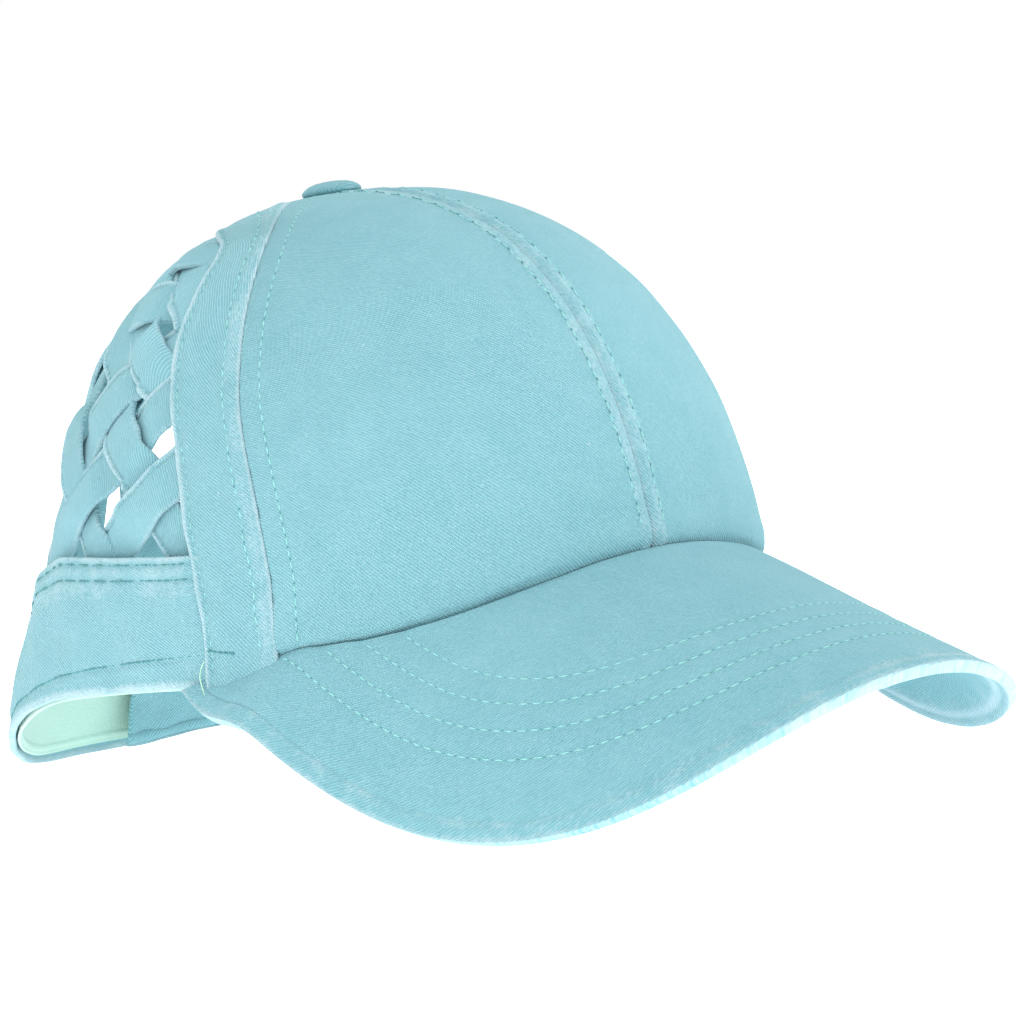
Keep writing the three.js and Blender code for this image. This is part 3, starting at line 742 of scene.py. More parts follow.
def arch_place(u, v):
    """Arch band from the right rim over the top to the left rim, rear edge to front edge."""
    u, v = np.asarray(u, float), np.asarray(v, float)
    along = mix(-1, 1, u)
    front_side, front_ahead = arch_front(along)
    rear_side, rear_ahead = arch_rear(along)
    low = ease((np.abs(along) - 0.93) / 0.07)
    fs, fa = skirted(front_side, front_ahead)
    rs, ra = skirted(rear_side, rear_ahead)
    front_side, front_ahead = mix(front_side, fs, low), mix(front_ahead, fa, low)
    rear_side, rear_ahead = mix(rear_side, rs, low), mix(rear_ahead, ra, low)
    front, rear, run = arch_gaps(u, v)
    lift = 0.3 * ease(np.abs(along) * 3) + folds(front, ARCH_FRONT_FOLDS) + folds(rear, ARCH_REAR_FOLDS)
    lift = lift + pucker(run, front, *ARCH_FRONT_GATHERS) + pucker(run + 30, rear, *ARCH_REAR_GATHERS)
    side, ahead = mix(rear_side, front_side, v), mix(rear_ahead, front_ahead, v)
    soft = ripples(chart_point(side, ahead), ARCH_WAVES)
    lift = lift + ease((np.abs(along) - 0.45) / 0.3) * ease(front / 5) * soft
    return on_crown(side, ahead, lift)


def tab_share(angle):
    full = math.pi - RIGHT_HALF_OVER - TAB_CLEARANCE
    return ease((angle - full + TAB_STEP) / TAB_STEP)


def band_gaps(u, v):
    """Millimetres from the back band's top and from its bottom."""
    tall = mix(BAND_HEIGHT_SIDE, BAND_HEIGHT_BACK, ease(u * 2))
    return (1 - v) * tall, v * tall


def low_row(u):
    """Height of the band's lower stitch row: it climbs towards the arch band."""
    return mix(7.4, 4.0, ease(u * 3))


def band_spread(up, angle):
    """How far the band's lower part stands out at the back."""
    return BAND_SPREAD * (1 - up) ** 1.4 * ease((angle - 1.75) / 0.5) * ease((math.pi + 0.3 - angle) / 0.6)


def band_place(hand):
    is_tab = hand > 0
    end = math.pi + (LEFT_HALF_OVER if is_tab else RIGHT_HALF_OVER)

    def place(u, v):
        u, v = np.asarray(u, float), np.asarray(v, float)
        start = rear_turn(BAND_HEIGHT_SIDE * v) - BAND_UNDER_ARCH
        angle = mix(start, end, u)
        tab = tab_share(angle) if is_tab else np.zeros_like(angle)
        height = (band_height(angle) - TAB_DROP * tab) * v + TAB_RAISE * tab * (1 - v)
        side, ahead = chart_at(hand * angle, radius_at(angle, height))
        run = angle * BAND_RADIUS
        top, low = (1 - v) * band_height(angle), v * band_height(angle)
        lift = -BAND_SINK - CLOSURE_STACK * tab + band_spread(v, angle) * (1 - tab)
        lift = lift + folds(top, BAND_TOP_FOLDS) + folds(low, (BAND_HEM_FOLD, (low_row(u), 0.8, -0.35)))
        lift = lift + pucker(run, top, *BAND_TOP_GATHERS) + pucker(run, low, low_row(u) + 2.5, 0.4, 10.5)
        lift = lift + ripples(chart_point(side, ahead), BAND_WAVES)
        near = u * BAND_RUN
        lift = lift - 0.8 * bell(near, 3) - 0.7 * bell(near - 14 + low * 0.4, 4) * (low < 20)
        return on_crown(side, ahead, lift)

    return place


def pad_place(start, end, lift, lows=(0.0, 0.0), hand=-1):
    def place(u, v):
        u, v = np.asarray(u, float), np.asarray(v, float)
        low = mix(*lows, ease(u * 2.4 - 0.5))
        height = mix(low, PAD_HEIGHT, v)
        begin = rear_turn(np.maximum(height, 0)) + start if start < 1 else np.full_like(u, start)
        angle = mix(begin, end, u)
        side, ahead = chart_at(hand * angle, radius_at(angle, height))
        spread = band_spread(height / BAND_HEIGHT_BACK, angle)
        beside = np.minimum(u, 1 - u) * (end - begin) * BAND_RADIUS
        rim = np.minimum(beside, np.minimum(v, 1 - v) * (PAD_HEIGHT - low))
        relief = -0.35 * bell(rim - 2.0, 0.5) + ripples(chart_point(side, ahead), PAD_WAVES)
        return on_crown(side, ahead, lift + (spread if hand < 0 else 0) + relief)
    return place


def chart_direction(side, ahead):
    radius, angle = np.hypot(side, ahead), np.arctan2(side, ahead)
    lift = (1 - radius) * math.pi / 2
    return np.stack([np.cos(lift) * np.sin(angle), np.cos(lift) * np.cos(angle), np.sin(lift)], -1)


def direction_spot(direction):
    lift = np.arcsin(np.clip(unit(direction)[..., 2], -1, 1))
    return chart_at(np.arctan2(direction[..., 0], direction[..., 1]), 1 - lift / (math.pi / 2))


def strap_line(row, hand):
    """Centre line of one strap: chart spots, their points and the run along them."""
    start = chart_direction(*arch_rear(np.array(float(row["leaves"]))))
    if "arch" in row:
        arrival = arch_rear(np.array(float(row["arch"])))
    else:
        turn = np.array(math.radians(row["band"]))
        arrival = chart_at(turn, radius_at(turn, band_height(turn)))
    stop = chart_direction(*arrival)
    whole = math.acos(float(np.clip(start @ stop, -1, 1)))
    across = unit(stop - start * (start @ stop))
    margin = STRAP_TUCK / CROWN_HEIGHT
    count = int(math.ceil((whole + 2 * margin) * CROWN_HEIGHT / 1.5))
    angle = np.linspace(-margin, whole + margin, count + 1)
    way = start * np.cos(angle)[:, None] + across * np.sin(angle)[:, None]
    bow = np.sin(np.clip(angle / whole, 0, 1) * math.pi)
    way[:, 2] -= row["sag"] * bow
    way[:, 0] += row["push"] * bow
    side, ahead = direction_spot(way)
    side = side * hand
    points = chart_point(side, ahead)
    return {"side": side, "ahead": ahead, "points": points, "run": path_length(points)}


def weave_marks(rights, lefts):
    """Each crossing of the two families, and which family is over there."""
    spots, signs = [], []
    for i, a in enumerate(rights):
        p = np.stack([a["side"], a["ahead"]], -1)
        for j, b in enumerate(lefts):
            q = np.stack([b["side"], b["ahead"]], -1)
            d1, d2 = np.diff(p, axis=0)[:, None], np.diff(q, axis=0)[None]
            off = q[None, :-1] - p[:-1, None]
            det = d1[..., 0] * d2[..., 1] - d1[..., 1] * d2[..., 0]
            det = np.where(np.abs(det) < 1e-12, 1e-12, det)
            s = (off[..., 0] * d2[..., 1] - off[..., 1] * d2[..., 0]) / det
            t = (off[..., 0] * d1[..., 1] - off[..., 1] * d1[..., 0]) / det
            for k, m in np.argwhere((s >= 0) & (s < 1) & (t >= 0) & (t < 1)):
                spots.append(mix(a["points"][k], a["points"][k + 1], s[k, m]))
                signs.append(1.0 if (i + j) % 2 == 1 else -1.0)
    return np.array(spots), np.array(signs)


def strap_bed(side, ahead):
    """Height of a strap's face: under the arch's edge and the band's edge, and out between them."""
    share = np.clip(np.abs(side) / ARCH_REAR_FOOT, 0, 1)
    to_arch = (arch_rear(share)[1] - ahead) * CROWN_HEIGHT * 0.9
    angle = np.arctan2(side, ahead)
    to_band = (radius_at(angle, band_height(angle)) - np.hypot(side, ahead)) * CROWN_HEIGHT
    from_arch, from_band = ease(to_arch / LATTICE_EDGE), ease(to_band / LATTICE_EDGE)
    bed = LATTICE_LIFT - (UNDER_ARCH + LATTICE_LIFT) * (1 - from_arch) - UNDER_BAND * (1 - from_band)
    return bed, np.minimum(from_arch, from_band)


def strap_place(line, family, marks):
    width = sizes().strap_width / MM
    rise = sizes().strap_rise / MM
    spots, signs = marks
    run = line["run"]

    def place(u, v):
        u, v = np.asarray(u, float), np.asarray(v, float)
        where = v * run[-1]
        side, ahead = np.interp(where, run, line["side"]), np.interp(where, run, line["ahead"])
        outward = chart_frame(side, ahead)[3]
        step = 2.0
        ahead_of = along_path(line["points"], run, np.minimum(where + step, run[-1]))
        tangent = unit(ahead_of - along_path(line["points"], run, np.maximum(where - step, 0)))
        sideways = unit(np.cross(outward, tangent)) * ((u - 0.5) * width)[..., None]
        side_step, ahead_step = chart_step(side, ahead, sideways)
        side, ahead = side + side_step, ahead + ahead_step
        bed, open_share = strap_bed(side, ahead)
        here = chart_point(side, ahead)
        gap = np.linalg.norm(here[:, None] - spots[None], axis=-1)
        weight = bell(gap, WEAVE_REACH) + 1e-9
        level = np.sum(weight * signs, -1) / np.sum(weight, -1)
        edge = (1 - u) * width
        crown = 0.35 * (1 - (2 * u - 1) ** 2)
        lift = bed + family * rise * level * (0.25 + 0.75 * open_share)
        return on_crown(side, ahead, lift + folds(edge, STRAP_FOLDS) + crown)

    return place


def brim_outline(share):
    """The peak's outer edge, as arc and run."""
    corner_x, corner_ahead = plan_point(np.array(BRIM_CORNER_ANGLE))
    end_arc, end_run = brim_shares(corner_x, corner_ahead)
    end_arc, end_run = end_arc + BRIM_CORNER_WIDTH, end_run - BRIM_CORNER_TUCK
    away = np.abs(share)
    in_front = away < BRIM_FRONT_SHARE
    turn = np.minimum(away / BRIM_FRONT_SHARE, 1) * math.pi / 2
    t = np.clip((away - BRIM_FRONT_SHARE) / (1 - BRIM_FRONT_SHARE), 0, 1)
    front_arc = BRIM_HALF_ARC * np.sin(turn) ** BRIM_SIDE_POWER
    front_run = mix(BRIM_WIDEST, BRIM_LENGTH, np.cos(turn).clip(0) ** BRIM_FRONT_POWER)
    arc = np.where(in_front, front_arc, mix(BRIM_HALF_ARC, end_arc, t * t))
    run = np.where(in_front, front_run, mix(BRIM_WIDEST, end_run, t))
    return np.sign(share) * arc, run


def brim_root(share):
    x, ahead = plan_point(share * BRIM_CORNER_ANGLE)
    shrink = 1 - 1.2 / np.hypot(x, ahead)
    return brim_shares(x * shrink, ahead * shrink)


def brim_face(arc, run, lift):
    """A point on the peak's middle sheet, lifted along its own face."""
    step = 0.5
    point = brim_point(arc, run)
    across = brim_point(arc + step, run) - brim_point(arc - step, run)
    down = brim_point(arc, run + step) - brim_point(arc, run - step)
    face = unit(np.cross(down, across))
    face = face * np.where(face[..., 2:3] < 0, -1, 1)
    return point + face * np.asarray(lift)[..., None]


def brim_spot(u, v):
    share = mix(-1, 1, np.asarray(u, float))
    root_arc, root_run = brim_root(share)
    edge_arc, edge_run = brim_outline(share)
    return mix(root_arc, edge_arc, v), mix(root_run, edge_run, v)


BRIM_OUTLINE = np.stack(brim_outline(np.linspace(-1, 1, 241)), -1)


def brim_edge_distance(arc, run):
    gap = np.stack([arc, run], -1)[:, None] - BRIM_OUTLINE[None]
    return np.min(np.linalg.norm(gap, axis=-1), -1)


def brim_relief(arc, run):
    """Low relief of the peak: soft rolls between the stitch rows."""
    edge = brim_edge_distance(arc, run)
    lift = folds(edge, BRIM_EDGE_FOLDS) + sum(folds(edge - row, BRIM_ROW_FOLDS) for row in BRIM_ROWS)
    spots = np.stack([arc, run, np.zeros_like(arc)], -1)
    return lift + ripples(spots, BRIM_WAVES)


def brim_place(u, v):
    arc, run = brim_spot(u, v)
    return brim_face(arc, run, brim_relief(arc, run))


def brim_sheet_place(s, t):
    """The peak by arc and run, scaled to shares, for stitch rows."""
    arc, run = (np.asarray(s, float) - 0.5) * BRIM_SPAN, np.asarray(t, float) * BRIM_SPAN
    half = sizes().brim_board / MM / 2
    return brim_face(arc, run, brim_relief(arc, run) + half)


def node(tree, kind, **values):
    made = tree.nodes.new(kind)
    for key, value in values.items():
        if key in made.inputs:
            made.inputs[key].default_value = value
        else:
            setattr(made, key, value)
    return made


def mixed(tree, share, first, second):
    made = tree.nodes.new("ShaderNodeMix")
    made.data_type = "RGBA"
    for socket, value in ((made.inputs[0], share), (made.inputs[6], first), (made.inputs[7], second)):
        if isinstance(value, bpy.types.NodeSocket):
            tree.links.new(value, socket)
        elif isinstance(value, (int, float)):
            socket.default_value = value
        else:
            socket.default_value = (*value, 1)
    return made.outputs[2]


def ramp(tree, value, low, high, top=1.0):
    made = node(tree, "ShaderNodeMapRange", clamp=True)
    made.inputs["From Min"].default_value = low
    made.inputs["From Max"].default_value = high
    made.inputs["To Max"].default_value = top
    tree.links.new(value, made.inputs["Value"])
    return made.outputs["Result"]


def product(tree, first, second, operation="MULTIPLY"):
    made = node(tree, "ShaderNodeMath", operation=operation)
    for socket, value in zip(made.inputs, (first, second)):
        if isinstance(value, (int, float)):
            socket.default_value = value
        else:
            tree.links.new(value, socket)
    return made.outputs[0]


def fresh_material(name):
    finish = bpy.data.materials.new(name)
    finish.use_nodes = True
    tree = finish.node_tree
    shader = tree.nodes["Principled BSDF"]
    return finish, tree, shader


def noise_of(tree, vector, scale, detail=3.0, rough=0.55):
    made = node(tree, "ShaderNodeTexNoise", Scale=scale, Detail=detail, Roughness=rough)
    tree.links.new(vector, made.inputs["Vector"])
    return made.outputs["Fac"]


def add_relief(tree, shader, height, strength, distance):
    bump = node(tree, "ShaderNodeBump", Strength=strength, Distance=distance)
    tree.links.new(height, bump.inputs["Height"])
    tree.links.new(bump.outputs["Normal"], shader.inputs["Normal"])


def twill_finish(name, tone=1.0, contrast=1.0):
    """Washed twill: slanting ridges of twisted yarn, faded patches, pale flecks and rubbed edges."""
    colours = bpy.context.scene.cap_colours
    finish, tree, shader = fresh_material(name)
    link = tree.links.new
    cloth_map = node(tree, "ShaderNodeUVMap", uv_map="Cloth").outputs["UV"]
    place = node(tree, "ShaderNodeTexCoord").outputs["Object"]
    wear = node(tree, "ShaderNodeAttribute", attribute_name="wear").outputs["Fac"]
    ridges = node(tree, "ShaderNodeTexWave", bands_direction="Y", wave_type="BANDS", wave_profile="SIN")
    ridges.inputs["Scale"].default_value = TWILL_SCALE
    ridges.inputs["Distortion"].default_value = 1.1
    ridges.inputs["Detail"].default_value = 2.0
    ridges.inputs["Detail Scale"].default_value = 1.3
    link(cloth_map, ridges.inputs["Vector"])
    yarn = node(tree, "ShaderNodeMapping")
    yarn.inputs["Scale"].default_value = (95, 150, 1)
    link(cloth_map, yarn.inputs["Vector"])
    yarns = noise_of(tree, yarn.outputs["Vector"], 1.0, 3.0, 0.65)
    broad = noise_of(tree, place, 30, 4.0, 0.6)
    medium = noise_of(tree, place, 130, 4.0, 0.65)
    fleck = noise_of(tree, place, 1100, 2.0, 0.5)
    lines = ramp(tree, ridges.outputs["Fac"], 0.15, 0.85)
    share = product(tree, product(tree, lines, 0.42 * contrast), product(tree, yarns, 0.85), "ADD")
    share = product(tree, share, product(tree, medium, 0.35), "ADD")
    share = ramp(tree, share, 0.38, 1.22)
    base = mixed(tree, share, [c * tone for c in colours.cloth], [c * tone for c in colours.pale])
    base = mixed(tree, ramp(tree, broad, 0.35, 0.68, 0.22), base, [c * tone * 1.05 for c in colours.pale])
    base = mixed(tree, ramp(tree, fleck, 0.66, 0.8, 0.35), base, FLECK_COLOUR)
    patchy = product(tree, product(tree, yarns, medium, "ADD"), 0.95)
    rubbed = product(tree, wear, patchy, "ADD")
    rubbed = product(tree, ramp(tree, rubbed, 1.2, 1.85), ramp(tree, wear, 0.02, 0.2))
    base = mixed(tree, product(tree, rubbed, 0.95), base, colours.worn)
    link(base, shader.inputs["Base Color"])
    shader.inputs["Roughness"].default_value = 0.92
    shader.inputs["Specular IOR Level"].default_value = 0.15
    shader.inputs["Sheen Weight"].default_value = 0.12
    shader.inputs["Sheen Roughness"].default_value = 0.5
    relief = product(tree, product(tree, lines, 0.7), product(tree, yarns, 0.9), "ADD")
    relief = product(tree, relief, product(tree, medium, 0.6), "ADD")
    add_relief(tree, shader, relief, 0.9, 0.0003)
    return finish


def pad_finish(name):
    """Napped loops: matt mint with fine tufts."""
    finish, tree, shader = fresh_material(name)
    place = node(tree, "ShaderNodeTexCoord").outputs["Object"]
    tufts = noise_of(tree, place, 1500, 3.0, 0.7)
    patches = noise_of(tree, place, 110, 3.0, 0.6)
    colour = list(bpy.context.scene.cap_colours.loops)
    base = mixed(tree, ramp(tree, patches, 0.35, 0.7, 0.6), colour, (0.46, 0.67, 0.60))
    base = mixed(tree, ramp(tree, tufts, 0.35, 0.7, 0.5), base, (0.31, 0.57, 0.48))
    tree.links.new(base, shader.inputs["Base Color"])
    shader.inputs["Roughness"].default_value = 0.95
    shader.inputs["Sheen Weight"].default_value = 0.25
    add_relief(tree, shader, tufts, 0.7, 0.0004)
    return finish


def thread_finish(name, colour):
    """Spun sewing thread."""
    finish, tree, shader = fresh_material(name)
    place = node(tree, "ShaderNodeTexCoord").outputs["Object"]
    spun = noise_of(tree, place, 2600, 2.0, 0.6)
    base = mixed(tree, ramp(tree, spun, 0.35, 0.7, 0.6), list(colour), [min(1, c * 1.35) for c in colour])
    tree.links.new(base, shader.inputs["Base Color"])
    shader.inputs["Roughness"].default_value = 0.7
    add_relief(tree, shader, spun, 0.5, 0.0001)
    return finish


def stitches(name, colour, slot, rows):
    """Rows of stitches as one piece, and the dark spots of painted shade between the stitches as another."""
    bm, hole_shadows = bmesh.new(), bmesh.new()
    for place, u, v, *more in rows:
        stitch_row(bm, hole_shadows, place, u, v, **(more[0] if more else {}))
    # Painted shade: the spots between the stitches get a dark finish in the hole shade colour
    dress(finish_mesh(f"{name}_holes", hole_shadows), thread_finish(f"{name}_hole_shade", HOLE_SHADE), slot)
    return dress(finish_mesh(name, bm), thread_finish(f"{name}_thread", colour), slot)


PATH = np.linspace(0, 1, 200)


class CAP_OT_front_panels(bpy.types.Operator):
    """Two front panels with their centre seam and its stitching"""

    bl_idname = "cap.front_panels"
    bl_label = "Front panels"

    def execute(self, context):
        finish = twill_finish("panel_twill", 1.0, 1.15)
        seam = lambda u, v: panel_gaps(*panel_spot(u, v))[0]
        wear = edge_wear(((seam, 0.9, 0.75), (lambda u, v: seam(u, v) - 2.8, 2.4, 0.42)))
        rows = []
        for hand, side in ((-1, "right"), (1, "left")):
            face = panel_face(hand)
            panel = cloth_sheet(
                f"front_panel_{side}_cloth", spaced(94, 0.6, 9, 2.3), spaced(150, 0.8, 9, 2.4),
                lambda u, v: face(*panel_spot(u, v)), sizes().cloth, PANEL_TWILL * hand, wear)
            dress(panel, finish, "crown_twill", f"front_panel_{side}")
            middle = chart_step(np.zeros_like(PATH), mix(0.97, 0.01, PATH), np.array((SEAM_ROW, 0, 0)))
            rows.append((face, middle[0], mix(0.97, 0.01, PATH)))
            rows.append((face, *beside_arch(mix(0.975, 0.04, PATH), PANEL_SIDE_ROW)))
        stitches("panel_stitches", context.scene.cap_colours.thread_pale, "crown_twill", rows)
        return {"FINISHED"}


class CAP_OT_arch_band(bpy.types.Operator):
    """Arch band over the crown, sewn near both edges"""

    bl_idname = "cap.arch_band"
    bl_label = "Arch band"

    def execute(self, context):
        wear = edge_wear((
            (lambda u, v: arch_gaps(u, v)[0] - 0.3, 0.8, 0.85),
            (lambda u, v: arch_gaps(u, v)[0] - 2.8, 3.0, 0.36),
            (lambda u, v: arch_gaps(u, v)[1] - 0.6, 0.9, 0.8),
        ))
        grid = spaced(2 * ARCH_HALF_RUN, 1.2, 22, 2.3), spaced(21, 0.45, 4.5, 1.2)
        band = cloth_sheet(
            "arch_band_cloth", *grid, arch_place, sizes().cloth,
            lambda u: np.radians(mix(-42, -14, ease((u - 0.06) * 3.5))), wear)
        dress(band, twill_finish("arch_twill", 0.97, 1.5), "crown_twill", "arch_band")
        wide = read_table(ARCH_WIDTH, np.abs(mix(-1, 1, PATH)))
        rows = [(arch_place, mix(0.02, 0.98, PATH), 1 - ARCH_FRONT_ROW / wide),
                (arch_place, mix(0.015, 0.985, PATH), ARCH_REAR_ROW / wide, {"width": 0.8})]
        stitches("arch_stitches", context.scene.cap_colours.thread_pale, "crown_twill", rows)
        return {"FINISHED"}


class CAP_OT_back_band(bpy.types.Operator):
    """Back band halves with their hems, rows of stitches and fastener pads"""

    bl_idname = "cap.back_band"
    bl_label = "Back band"

    def execute(self, context):
        finish = twill_finish("band_twill", 0.97, 1.5)
        wear = edge_wear((
            (lambda u, v: band_gaps(u, v)[0] - 0.4, 1.2, 0.7),
            (lambda u, v: band_gaps(u, v)[1] - 0.6, 1.4, 0.8),
            (lambda u, v: band_gaps(u, v)[0] - 7.5, 3.0, 0.42),
            (lambda u, v: band_gaps(u, v)[0] - 3.6, 1.6, 0.4),
        ))
        rows = []
        for hand, side in ((-1, "right"), (1, "left")):
            place = band_place(hand)
            band = cloth_sheet(
                f"back_band_{side}_cloth", spaced(190, 1.0, 18, 2.3), spaced(32, 0.5, 7, 1.8), place,
                sizes().band_cloth, BAND_TWILL * hand, wear)
            dress(band, finish, "band_twill", f"back_band_{side}")
            tall = band_gaps(PATH, 0)[0]
            for share in (*(1 - top / tall for top in BAND_TOP_ROWS), low_row(PATH) / tall):
                rows.append((place, mix(0.02, 0.985, PATH), share, {"width": 1.2, "pace": 1.3}))
        stitches("band_stitches", context.scene.cap_colours.thread_dark, "band_twill", rows)
        self.add_pads(context)
        return {"FINISHED"}

    def add_pads(self, context):
        pads = pad_finish("pad_nap")
        inner = -BAND_SINK - sizes().band_cloth / MM - 0.35
        grid = spaced(150, 0.6, 4, 3.0), spaced(20, 0.5, 4, 2.0)
        loops = pad_place(PAD_MARGIN, math.pi + RIGHT_HALF_OVER - PAD_MARGIN / 2, inner, (-0.6, 2.8))
        dress(cloth_sheet("loop_pad_nap", *grid, loops, PAD_NAP, 0.0), pads, "loop_pad", "loop_pad")
        full = math.pi - RIGHT_HALF_OVER - TAB_CLEARANCE
        end = math.pi + LEFT_HALF_OVER - PAD_MARGIN / 2
        outer = -BAND_SINK - CLOSURE_STACK + HOOK_PAD_RISE
        hooks = pad_place(full + PAD_MARGIN, end, outer, (HOOK_PAD_LOW, HOOK_PAD_LOW), 1)
        dress(cloth_sheet("hook_pad_nap", *grid, hooks, PAD_NAP, 0.0), pads, "hook_pad", "hook_pad")
        low = PAD_ROW / PAD_HEIGHT
        rows = [(loops, mix(0.01, 0.99, PATH), np.full_like(PATH, v)) for v in (low, 1 - low)]
        stitches("pad_stitches", context.scene.cap_colours.loops, "loop_pad", rows)


class CAP_OT_lattice(bpy.types.Operator):
    """Two families of folded straps woven over and under"""

    bl_idname = "cap.lattice"
    bl_label = "Strap lattice"

    def execute(self, context):
        finish = twill_finish("strap_twill", 0.97, 1.5)
        rights = [strap_line(row, 1) for row in STRAPS]
        lefts = [strap_line(row, -1) for row in STRAPS]
        marks = weave_marks(rights, lefts)
        width = sizes().strap_width / MM
        wear = edge_wear((
            (lambda u, v: u * width, 0.8, 0.5),
            (lambda u, v: (1 - u) * width - 0.6, 0.8, 0.7),
        ))
        across = np.array(STRAP_COLUMNS) / STRAP_COLUMNS[-1]
        rows = []
        for lines, family, side in ((rights, 1, "right"), (lefts, -1, "left")):
            for i, line in enumerate(lines, 1):
                place = strap_place(line, family, marks)
                along = np.linspace(0, 1, max(9, int(line["run"][-1] / STRAP_STEP)))
                strap = cloth_sheet(
                    f"strap_{side}_{i}_cloth", across, along, place, STRAP_WALL, STRAP_TWILL[side], wear)
                dress(strap, finish, "strap_twill")
                if i in STRAP_NODES:
                    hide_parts(f"strap_from_{side}_{STRAP_NODES[i]}")
                groove = np.full_like(PATH, 1 - CORD / width)
                rows.append((place, groove, mix(0.03, 0.97, PATH), {"width": 0.7}))
        stitches("strap_stitches", context.scene.cap_colours.thread_pale, "strap_twill", rows)
        return {"FINISHED"}


class CAP_OT_brim(bpy.types.Operator):
    """Curved peak with four rows of stitches"""

    bl_idname = "cap.brim"
    bl_label = "Peak"

    def execute(self, context):
        edge = lambda u, v: brim_edge_distance(*brim_spot(u, v))
        front = lambda u: mix(0.35, 1, ease((u - 0.42) * 5))
        wear = lambda u, v: front(u) * edge_wear((
            (lambda u, v: edge(u, v) - 3.8, 1.6, 0.95), (lambda u, v: edge(u, v) - 4, 7.0, 0.42)))(u, v) + (
            0.6 * bell(edge(u, v), 1.2))
        shares = 1 - spaced(170, 0.7, 7, 2.4)[::-1]
        down = np.concatenate([shares[shares < 0.5] * 1.0, 1 - shares[shares < 0.5][::-1]])
        peak = cloth_sheet("brim_cloth", spaced(300, 1.4, 18, 2.5), np.unique(np.round(down, 6)), brim_place,
                           sizes().brim_board, BRIM_TWILL, wear, centre=PEAK_HUB, shift=0.0)
        dress(peak, twill_finish("brim_twill", 1.03, 0.8), "brim_twill", "brim")
        way = unit(np.gradient(BRIM_OUTLINE, axis=0))
        inward = np.stack([way[:, 1], -way[:, 0]], -1)
        arc, run = brim_root(np.linspace(-1, 1, 161))
        rows = []
        for distance in BRIM_ROWS:
            line = BRIM_OUTLINE + inward * distance
            line = line[line[:, 1] > np.interp(line[:, 0], arc, run) + 1.6]
            rows.append((brim_sheet_place, line[:, 0] / BRIM_SPAN + 0.5, line[:, 1] / BRIM_SPAN,
                         {"centre": PEAK_HUB, "pace": 1.1}))
        stitches("brim_stitches", context.scene.cap_colours.thread_pale, "brim_twill", rows)
        return {"FINISHED"}


class CAP_OT_button(bpy.types.Operator):
    """Covered button on the crown"""

    bl_idname = "cap.button"
    bl_label = "Button"

    def execute(self, context):
        radius, height = sizes().button_radius, sizes().button_height
        seat = Vector(to_world(np.array((0, -TOP_SETBACK, CROWN_HEIGHT - 0.7))))
        up = (Vector(to_world(np.array((0, -TOP_SETBACK, CROWN_HEIGHT)))) - seat).normalized()
        side = up.orthogonal().normalized()
        bm = bmesh.new()
        bmesh.ops.create_grid(bm, x_segments=1, y_segments=len(BUTTON_PROFILE) - 1, size=0.5)
        bmesh.ops.delete(bm, geom=[v for v in bm.verts if v.co.x > 0], context="VERTS")
        for vert, (out, rise) in zip(sorted(bm.verts, key=lambda v: v.co.y), BUTTON_PROFILE):
            vert.co = seat + side * (radius * out) + up * (height * rise)
        outline = list(bm.verts) + list(bm.edges)
        bmesh.ops.spin(bm, geom=outline, cent=seat, axis=up, angle=2 * math.pi, steps=40, use_merge=True)
        bmesh.ops.remove_doubles(bm, verts=bm.verts, dist=0.00002)
        bmesh.ops.recalc_face_normals(bm, faces=bm.faces)
        layer = bm.loops.layers.uv.new("Cloth")
        for face in bm.faces:
            for loop in face.loops:
                loop[layer].uv = (loop.vert.co.x * 10, loop.vert.co.y * 10)
        dress(finish_mesh("button_cloth", bm), twill_finish("button_twill", 0.9), "crown_twill", "button")
        return {"FINISHED"}


class CAP_OT_details(bpy.types.Operator):
    """Bartack at the foot of the arch band, and its loose thread end"""

    bl_idname = "cap.details"
    bl_label = "Bartacks and loose thread"

    def execute(self, context):
        rows = []
        for foot, away in ((0.0, 1), (1.0, -1)):
            run = foot + away * mix(0.0255, 0.0215, PATH)
            rows.append((arch_place, run, mix(0.03, 0.44, PATH), {"width": 1.5, "pace": 0.6}))
        stitches("bartack_stitches", context.scene.cap_colours.thread_dark, "crown_twill", rows)
        start = arch_place(np.array((0.022,)), np.array((0.0,)))[0]
        curve = bpy.data.curves.new("loose_thread", "CURVE")
        curve.dimensions = "3D"
        curve.bevel_depth = sizes().thread * 0.32
        curve.bevel_resolution = 1
        path = curve.splines.new("NURBS")
        path.points.add(len(THREAD_FALL) - 1)
        path.use_endpoint_u = True
        for point, drop in zip(path.points, THREAD_FALL):
            point.co = (*to_world(start + np.array(drop)), 1)
        thread = bpy.data.objects.new("loose_thread", curve)
        context.scene.collection.objects.link(thread)
        dress(thread, thread_finish("loose_thread_spun", THREAD_END_COLOUR), "crown_twill")
        return {"FINISHED"}


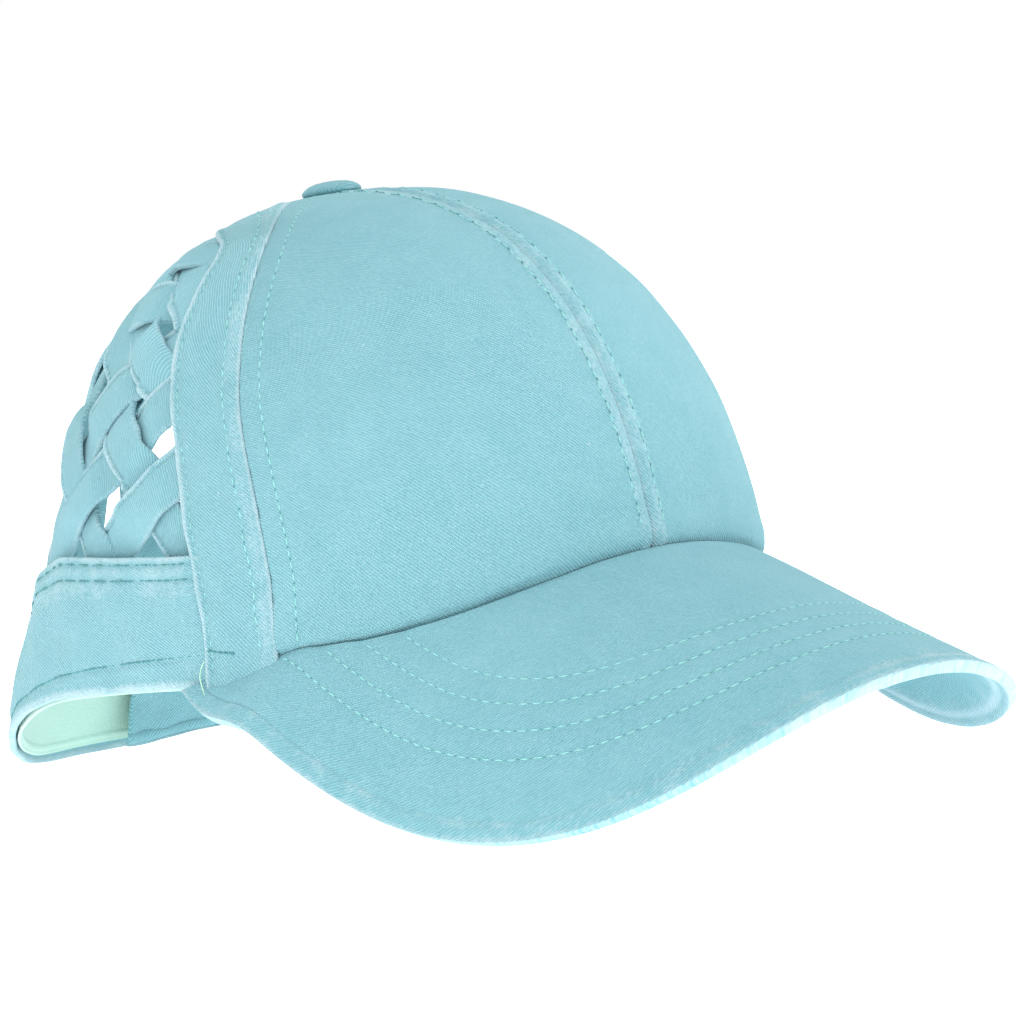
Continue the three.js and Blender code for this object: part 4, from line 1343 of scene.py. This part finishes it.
class CAP_OT_stage(bpy.types.Operator):
    """Plain pale floor, soft light and the camera of the photograph"""

    bl_idname = "cap.stage"
    bl_label = "Stage"

    def execute(self, context):
        bm = bmesh.new()
        bmesh.ops.create_grid(bm, x_segments=1, y_segments=1, size=6.0)
        floor = finish_mesh("floor", bm)
        finish, _, shader = fresh_material("floor_paint")
        shader.inputs["Base Color"].default_value = (*context.scene.cap_colours.floor, 1)
        shader.inputs["Roughness"].default_value = 0.9
        shader.inputs["Emission Color"].default_value = (1, 1, 1, 1)
        shader.inputs["Emission Strength"].default_value = FLOOR_GLOW
        floor.data.materials.append(finish)
        world = bpy.data.worlds.new("studio")
        world.use_nodes = True
        world.node_tree.nodes["Background"].inputs["Color"].default_value = (1, 1, 1, 1)
        world.node_tree.nodes["Background"].inputs["Strength"].default_value = 1.0
        context.scene.world = world
        for name, place, width, height, power in LIGHTS:
            light = bpy.data.lights.new(name, "AREA")
            light.energy = power
            light.shape = "RECTANGLE"
            light.size, light.size_y = width, height
            lamp = bpy.data.objects.new(name, light)
            context.scene.collection.objects.link(lamp)
            lamp.location = place
            lamp.rotation_euler = (Vector(LIGHT_AIM) - Vector(place)).to_track_quat("-Z", "Y").to_euler()
        self.add_camera(context)
        context.scene.view_settings.view_transform = "Standard"
        return {"FINISHED"}

    def add_camera(self, context):
        a, e = CAMERA_AZIMUTH, CAMERA_ELEVATION
        back = np.array((-math.sin(a) * math.cos(e), math.cos(a) * math.cos(e), math.sin(e)))
        place = np.array(CAMERA_TARGET) + back * CAMERA_DISTANCE
        centre = Vector(to_world(place))
        look = (centre - Vector(to_world(np.array(CAMERA_TARGET)))).normalized()
        top = Vector(to_world(place + np.array((0, 0, 1.0)))) - centre
        right = top.cross(look).normalized()
        upright = look.cross(right)
        turned = right * math.cos(CAMERA_ROLL) + upright * math.sin(CAMERA_ROLL)
        standing = look.cross(turned)
        data = bpy.data.cameras.new("photo_camera")
        data.sensor_width = SENSOR_WIDTH
        data.lens = CAMERA_FOCUS / FRAME_PIXELS * SENSOR_WIDTH
        data.clip_start = 0.01
        camera = bpy.data.objects.new("photo_camera", data)
        context.scene.collection.objects.link(camera)
        camera.matrix_world = Matrix((
            (turned.x, standing.x, look.x, centre.x), (turned.y, standing.y, look.y, centre.y),
            (turned.z, standing.z, look.z, centre.z), (0, 0, 0, 1)))
        context.scene.camera = camera


class CAP_PT_panel(bpy.types.Panel):
    """Sizes, colours and pieces of the cap"""

    bl_idname = "CAP_PT_panel"
    bl_label = "Cap"
    bl_space_type = "VIEW_3D"
    bl_region_type = "UI"
    bl_category = "Cap"

    def draw(self, context):
        for group in (context.scene.cap_sizes, context.scene.cap_colours):
            for key in group.bl_rna.properties.keys():
                if key not in ("rna_type", "name"):
                    self.layout.prop(group, key)
        for kind in OPERATORS:
            self.layout.operator(kind.bl_idname)


OPERATORS = (
    CAP_OT_front_panels, CAP_OT_arch_band, CAP_OT_back_band, CAP_OT_lattice, CAP_OT_brim, CAP_OT_button,
    CAP_OT_details, CAP_OT_stage,
)
CLASSES = (CapSizes, CapColours, *OPERATORS, CAP_PT_panel)


def register():
    for kind in CLASSES:
        bpy.utils.register_class(kind)
    bpy.types.Scene.cap_sizes = bpy.props.PointerProperty(type=CapSizes)
    bpy.types.Scene.cap_colours = bpy.props.PointerProperty(type=CapColours)


def unregister():
    del bpy.types.Scene.cap_colours
    del bpy.types.Scene.cap_sizes
    for kind in reversed(CLASSES):
        bpy.utils.unregister_class(kind)


def main():
    register()
    bpy.ops.cap.front_panels()
    bpy.ops.cap.arch_band()
    bpy.ops.cap.back_band()
    bpy.ops.cap.lattice()
    bpy.ops.cap.brim()
    bpy.ops.cap.button()
    bpy.ops.cap.details()
    bpy.ops.cap.stage()


if __name__ == "__main__":
    main()
